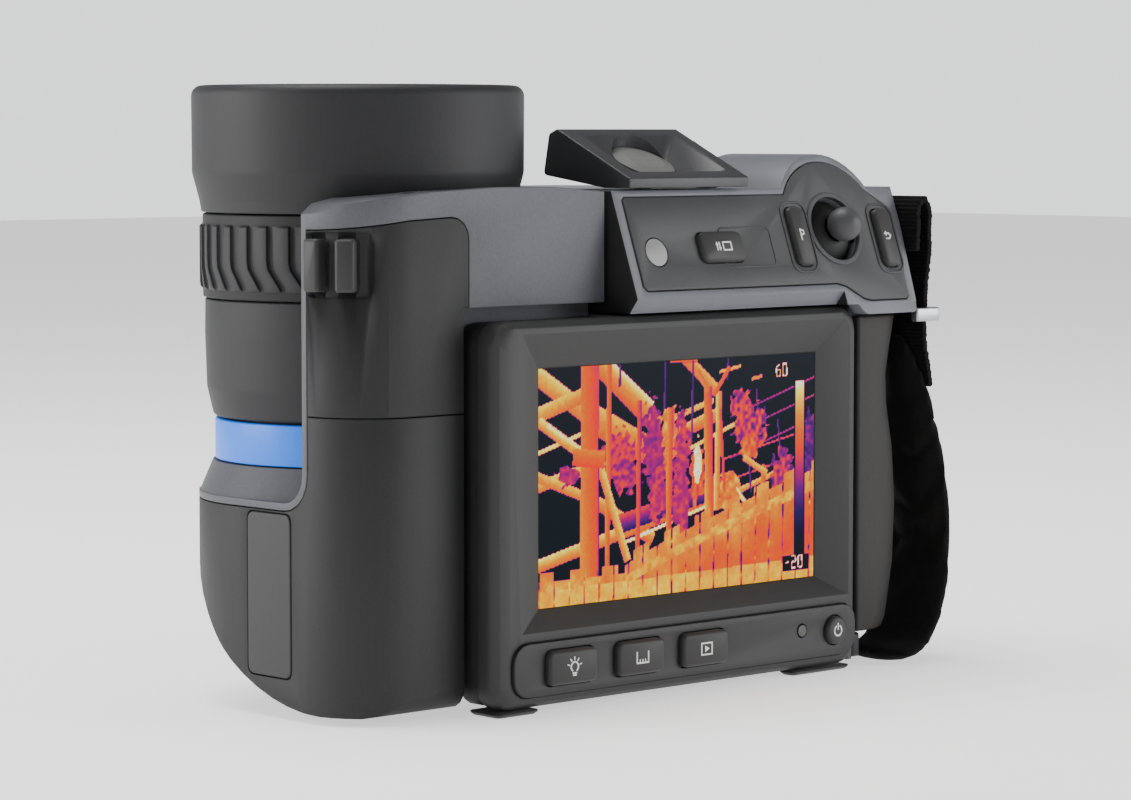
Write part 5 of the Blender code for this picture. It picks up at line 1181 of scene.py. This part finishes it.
def picture_panel():
    """A closed thin panel whose front carries the heat field."""
    low = glass_low + Vector((MM, -0.25 * MM, MM))
    high = glass_high - Vector((MM, 0, MM))
    xs, zs = np.linspace(low.x, high.x, COLUMNS), np.linspace(low.z, high.z, ROWS)
    points = [(x, low.y, z) for z in zs for x in xs]
    faces = [(r * COLUMNS + c, r * COLUMNS + c + 1, (r + 1) * COLUMNS + c + 1,
              (r + 1) * COLUMNS + c) for r in range(ROWS - 1) for c in range(COLUMNS - 1)]
    last = (ROWS - 1) * COLUMNS
    edge = ([c for c in range(COLUMNS)] + [r * COLUMNS + COLUMNS - 1 for r in range(1, ROWS)]
            + [last + c for c in range(COLUMNS - 2, -1, -1)]
            + [r * COLUMNS for r in range(ROWS - 2, 0, -1)])
    start = len(points)
    points += [(points[i][0], low.y + 0.2 * MM, points[i][2]) for i in edge]
    count = len(edge)
    for i in range(count):
        j = (i + 1) % count
        faces.append((edge[i], start + i, start + j, edge[j]))
    faces.append(tuple(range(start + count - 1, start - 1, -1)))
    mesh = bpy.data.meshes.new("thermal_picture")
    mesh.from_pydata(points, [], faces)
    field = mesh.attributes.new("warmth", "FLOAT", "POINT")
    values = np.concatenate([heat.ravel(), np.zeros(count)]).astype(np.float32)
    field.data.foreach_set("value", values)
    mesh.materials.append(colour_table())
    piece = bpy.data.objects.new("thermal_picture", mesh)
    bpy.context.scene.collection.objects.link(piece)
    return stands_for(piece, body=body_of["screen_glass"])


picture_panel()
print("picture grid:", COLUMNS, "x", ROWS)

# %% [markdown]
# ## Woven strap
# The strap is a nylon ribbon.  Its weft threads cross it from edge to edge and show as fine ribs.
# A path runs along the ribbon's middle, and a Geometry Nodes tree lays one round thread after
# another across it, each a slightly different length, which gives the worn, uneven edge.


# %% Webbing
def weft_rule():
    """Threads laid across a path, from edge to edge."""
    tree, given = rule("weft_threads", {"Count": "NodeSocketInt", "Width": "NodeSocketFloat",
                                        "Radius": "NodeSocketFloat",
                                        "Finish": "NodeSocketMaterial"})
    line = put(tree, "GeometryNodeMeshToCurve", {"Mesh": given.outputs["Geometry"]})
    spots = put(tree, "GeometryNodeResampleCurve", {"Curve": line.outputs[0],
                                                    "Count": given.outputs["Count"]})
    thread = put(tree, "GeometryNodeMeshCylinder", {"Vertices": 10, "Side Segments": 6,
                                                    "Radius": given.outputs["Radius"],
                                                    "Depth": given.outputs["Width"]})
    stretch = put(tree, "FunctionNodeRandomValue", {"Min": (0.96, 0.96, 0.965),
                                                    "Max": (1.04, 1.04, 1.01), "Seed": 4},
                  data_type="FLOAT_VECTOR")
    copies = put(tree, "GeometryNodeInstanceOnPoints", {
        "Points": spots.outputs[0], "Instance": thread.outputs["Mesh"],
        "Rotation": (math.pi / 2, 0, 0), "Scale": stretch.outputs[0]})
    return close_rule(tree, copies.outputs[0], given)


def smooth_path(points, per_span=8):
    """Points on a smooth curve through a few chosen ones."""
    knots = [Vector(p) for p in points]
    knots = [2 * knots[0] - knots[1], *knots, 2 * knots[-1] - knots[-2]]
    path = []
    for a, b, c, d in zip(knots, knots[1:], knots[2:], knots[3:]):
        for k in range(per_span):
            t = k / per_span
            path.append((2 * b + (c - a) * t + (2 * a - 5 * b + 4 * c - d) * t * t
                         + (3 * b - a - 3 * c + d) * t ** 3) / 2)
    return [*path, knots[-2]]


def thread_line(name, points):
    """A mesh of edges along a path."""
    mesh = bpy.data.meshes.new(name)
    mesh.from_pydata([tuple(p) for p in points], [(i, i + 1) for i in range(len(points) - 1)], [])
    piece = bpy.data.objects.new(name, mesh)
    bpy.context.scene.collection.objects.link(piece)
    return piece


web_low, web_high = low_high("strap_webbing")
loop_low, loop_high = low_high("strap_loop")
web_y = (web_low.y + web_high.y) / 2
web_wide = web_high.y - web_low.y
THREAD_R = 0.82 * MM
inner = web_low.x + THREAD_R
outer = loop_high.x - 2.2 * MM - 1.25 * MM
high = web_high.z - THREAD_R
web_path = [(inner, high - 12.5 * MM), (inner, high - 6.5 * MM),
            (inner + 0.2 * MM, high - 2.5 * MM),
            (inner + 1.5 * MM, high - 0.1 * MM), (outer - 0.2 * MM, high),
            (outer + 1.4 * MM, high - 2.6 * MM), (outer + 1.6 * MM, high - 6.5 * MM),
            (outer + 1.4 * MM, high - 14.5 * MM), (outer, loop_high.z + 2.5 * MM),
            (outer, loop_low.z - 5 * MM), (outer + 2.4 * MM, loop_low.z - 16.5 * MM)]
path = smooth_path([(x, web_y, z) for x, z in web_path])
webbing = made_by(thread_line("webbing", path), weft_rule(), Count=64, Width=web_wide,
                  Radius=THREAD_R, Finish=web_nylon)
shaded(webbing.data, 50)
stands_for(webbing, "strap_webbing")
print("webbing width in mm:", round(web_wide / MM, 1), "points:", len(webbing.data.vertices))

# %% [markdown]
# ## Hand pad
# The pad under the hand is cloth round a soft core.  A closed cloth shell is blown up slightly, so
# it finds the folds and the soft edges that such a pad has.


# %% Cushioned pad
def pad_shape():
    """The pad before it is blown up: narrow at the loop, full behind the hand."""
    low, high = low_high("strap_pad")
    tip = loop_low.z - 4 * MM
    foot = low.z + 2.6 * MM
    # along the pad: x, z, then in mm how far in it starts, how wide and how thick it is
    stations = [
        (outer - 2.6 * MM, tip, 9.0, 9.0, 2.2),
        (outer - 2.0 * MM, tip - 6 * MM, 6.5, 14.0, 2.6),
        (outer + 1.2 * MM, tip - 14 * MM, 3.5, 20.0, 3.6),
        (high.x - 4.6 * MM, 52 * MM, 1.0, 24.0, 5.0),
        (high.x - 2.9 * MM, 36 * MM, 0.4, 25.0, 5.0),
        (high.x - 4.2 * MM, 20 * MM, -0.6, 25.0, 5.0),
        (high.x - 10 * MM, 9 * MM, -2.4, 25.0, 5.0),
        (high.x - 18.6 * MM, foot + 1.2 * MM, -4.0, 25.0, 4.8),
        (low.x + 1.2 * MM, foot, -4.4, 24.6, 4.4),
    ]
    start = low.y + 5.2 * MM
    shape = bmesh.new()
    rings = []
    for i, (x, z, near, wide, thick) in enumerate(stations):
        back, ahead = stations[max(i - 1, 0)], stations[min(i + 1, len(stations) - 1)]
        run = Vector((ahead[0] - back[0], ahead[1] - back[1])).normalized() * thick * MM / 2
        y0 = max(start + near * MM - MM, low.y + 0.8 * MM)
        y1 = y0 + wide * MM
        rings.append([shape.verts.new(p) for p in (
            (x + run.y, y0, z - run.x), (x + run.y, y1, z - run.x), (x - run.y, y1, z + run.x),
            (x - run.y, y0, z + run.x))])
    for a, b in zip(rings, rings[1:]):
        for i in range(4):
            shape.faces.new((a[i - 1], a[i], b[i], b[i - 1]))
    shape.faces.new(rings[0])
    shape.faces.new(rings[-1])
    bmesh.ops.recalc_face_normals(shape, faces=shape.faces)
    piece = new_piece("hand_pad", shape, pad_cloth)
    smooth = piece.modifiers.new("smooth", "SUBSURF")
    smooth.levels = 2
    smooth.render_levels = 2
    return flattened(piece)


BLOW_FRAMES = 20


def puffed(piece, cloth, pressure=4.0, cell=1.3 * MM, cap=1.2 * MM):
    """The piece as an even mesh, blown up as cloth and kept near its shape."""
    even = piece.modifiers.new("even", "REMESH")
    even.mode = "VOXEL"
    even.voxel_size = cell
    flattened(piece)
    piece.data.materials.clear()
    piece.data.materials.append(cloth)
    count = len(piece.data.vertices)
    start = np.empty(count * 3, np.float32)
    piece.data.vertices.foreach_get("co", start)
    scene = bpy.context.scene
    gravity = tuple(scene.gravity)
    scene.gravity = (0, 0, 0)
    blow = piece.modifiers.new("blow", "CLOTH")
    blow.settings.use_pressure = True
    blow.settings.uniform_pressure_force = pressure
    blow.settings.quality = 6
    blow.settings.tension_stiffness = 12
    blow.settings.compression_stiffness = 12
    blow.settings.bending_stiffness = 0.4
    blow.settings.shrink_min = -0.03
    blow.point_cache.frame_start = 1
    blow.point_cache.frame_end = BLOW_FRAMES
    for step in range(1, BLOW_FRAMES + 1):
        scene.frame_set(step)
    flattened(piece)
    scene.gravity = gravity
    scene.frame_set(1)
    end = np.empty(count * 3, np.float32)
    piece.data.vertices.foreach_get("co", end)
    move = (end - start).reshape(-1, 3)
    move -= move.mean(0)
    size = np.linalg.norm(move, axis=1, keepdims=True)
    kept = start.reshape(-1, 3) + move * np.minimum(1, cap / np.maximum(size, 1e-9))
    piece.data.vertices.foreach_set("co", kept.ravel().astype(np.float32))
    smooth = piece.modifiers.new("smooth", "SUBSURF")
    smooth.levels = 1
    smooth.render_levels = 1
    flattened(piece)
    piece.data.shade_smooth()
    return piece


pad = pad_shape()
pad = puffed(pad, pad_cloth)
stands_for(pad, "strap_pad")
print("pad points:", len(pad.data.vertices))

# %% [markdown]
# ## Screws
# The housing is held by small hex-socket screws, sunk into its far side in two rows.


# %% Screws on the far side
def screw_head(name, place):
    """One round head with a round socket, its top at the place's origin."""
    profile = [(0, -0.9 * MM), (0.95 * MM, -0.9 * MM), (1.0 * MM, -0.05 * MM),
               (1.2 * MM, 0.1 * MM), (2.1 * MM, 0.1 * MM), (2.3 * MM, -0.1 * MM), (2.3 * MM, -1.4 * MM),
               (0, -1.4 * MM)]
    return spun_on(name, profile, dark_metal, place, 36)


housing_low, housing_high = low_high("main_housing")
away = Matrix.Rotation(-math.pi / 2, 4, "X")
SCREW_IN, SCREW_UP = 8 * MM, 16 * MM        # the first screw's place on the housing
SCREW_STEP, ROW_RISE = 34 * MM, 72 * MM
first = Vector((housing_low.x + SCREW_IN, housing_high.y, SCREW_UP))
screw_rows = {"lower_screws": 0, "upper_screws": ROW_RISE}
for name, rise in screw_rows.items():
    row = screw_head(name, Matrix.Translation(first + Vector((0, 0, rise))) @ away)
    made_by(row, IN_A_ROW, Count=2, Step=(SCREW_STEP, 0, 0), Finish=dark_metal)
    stands_for(row, body="main_body")
print("screw rows:", len(screw_rows))

# %% [markdown]
# ## Floor
# The camera stands on a pale sweep that lets the soft shadow under it be read.

# %% Floor
sheet, _, sheet_shader = finish_start("pale_backdrop_paper", "#e6e6e5", 0.9)
sheet_shader.inputs["Emission Color"].default_value = (1, 1, 1, 1)
sheet_shader.inputs["Emission Strength"].default_value = 0.85
floor_shape = bmesh.new()
bmesh.ops.create_grid(floor_shape, x_segments=1, y_segments=1, size=4)
floor = new_piece("floor", floor_shape, sheet)
print("floor laid")
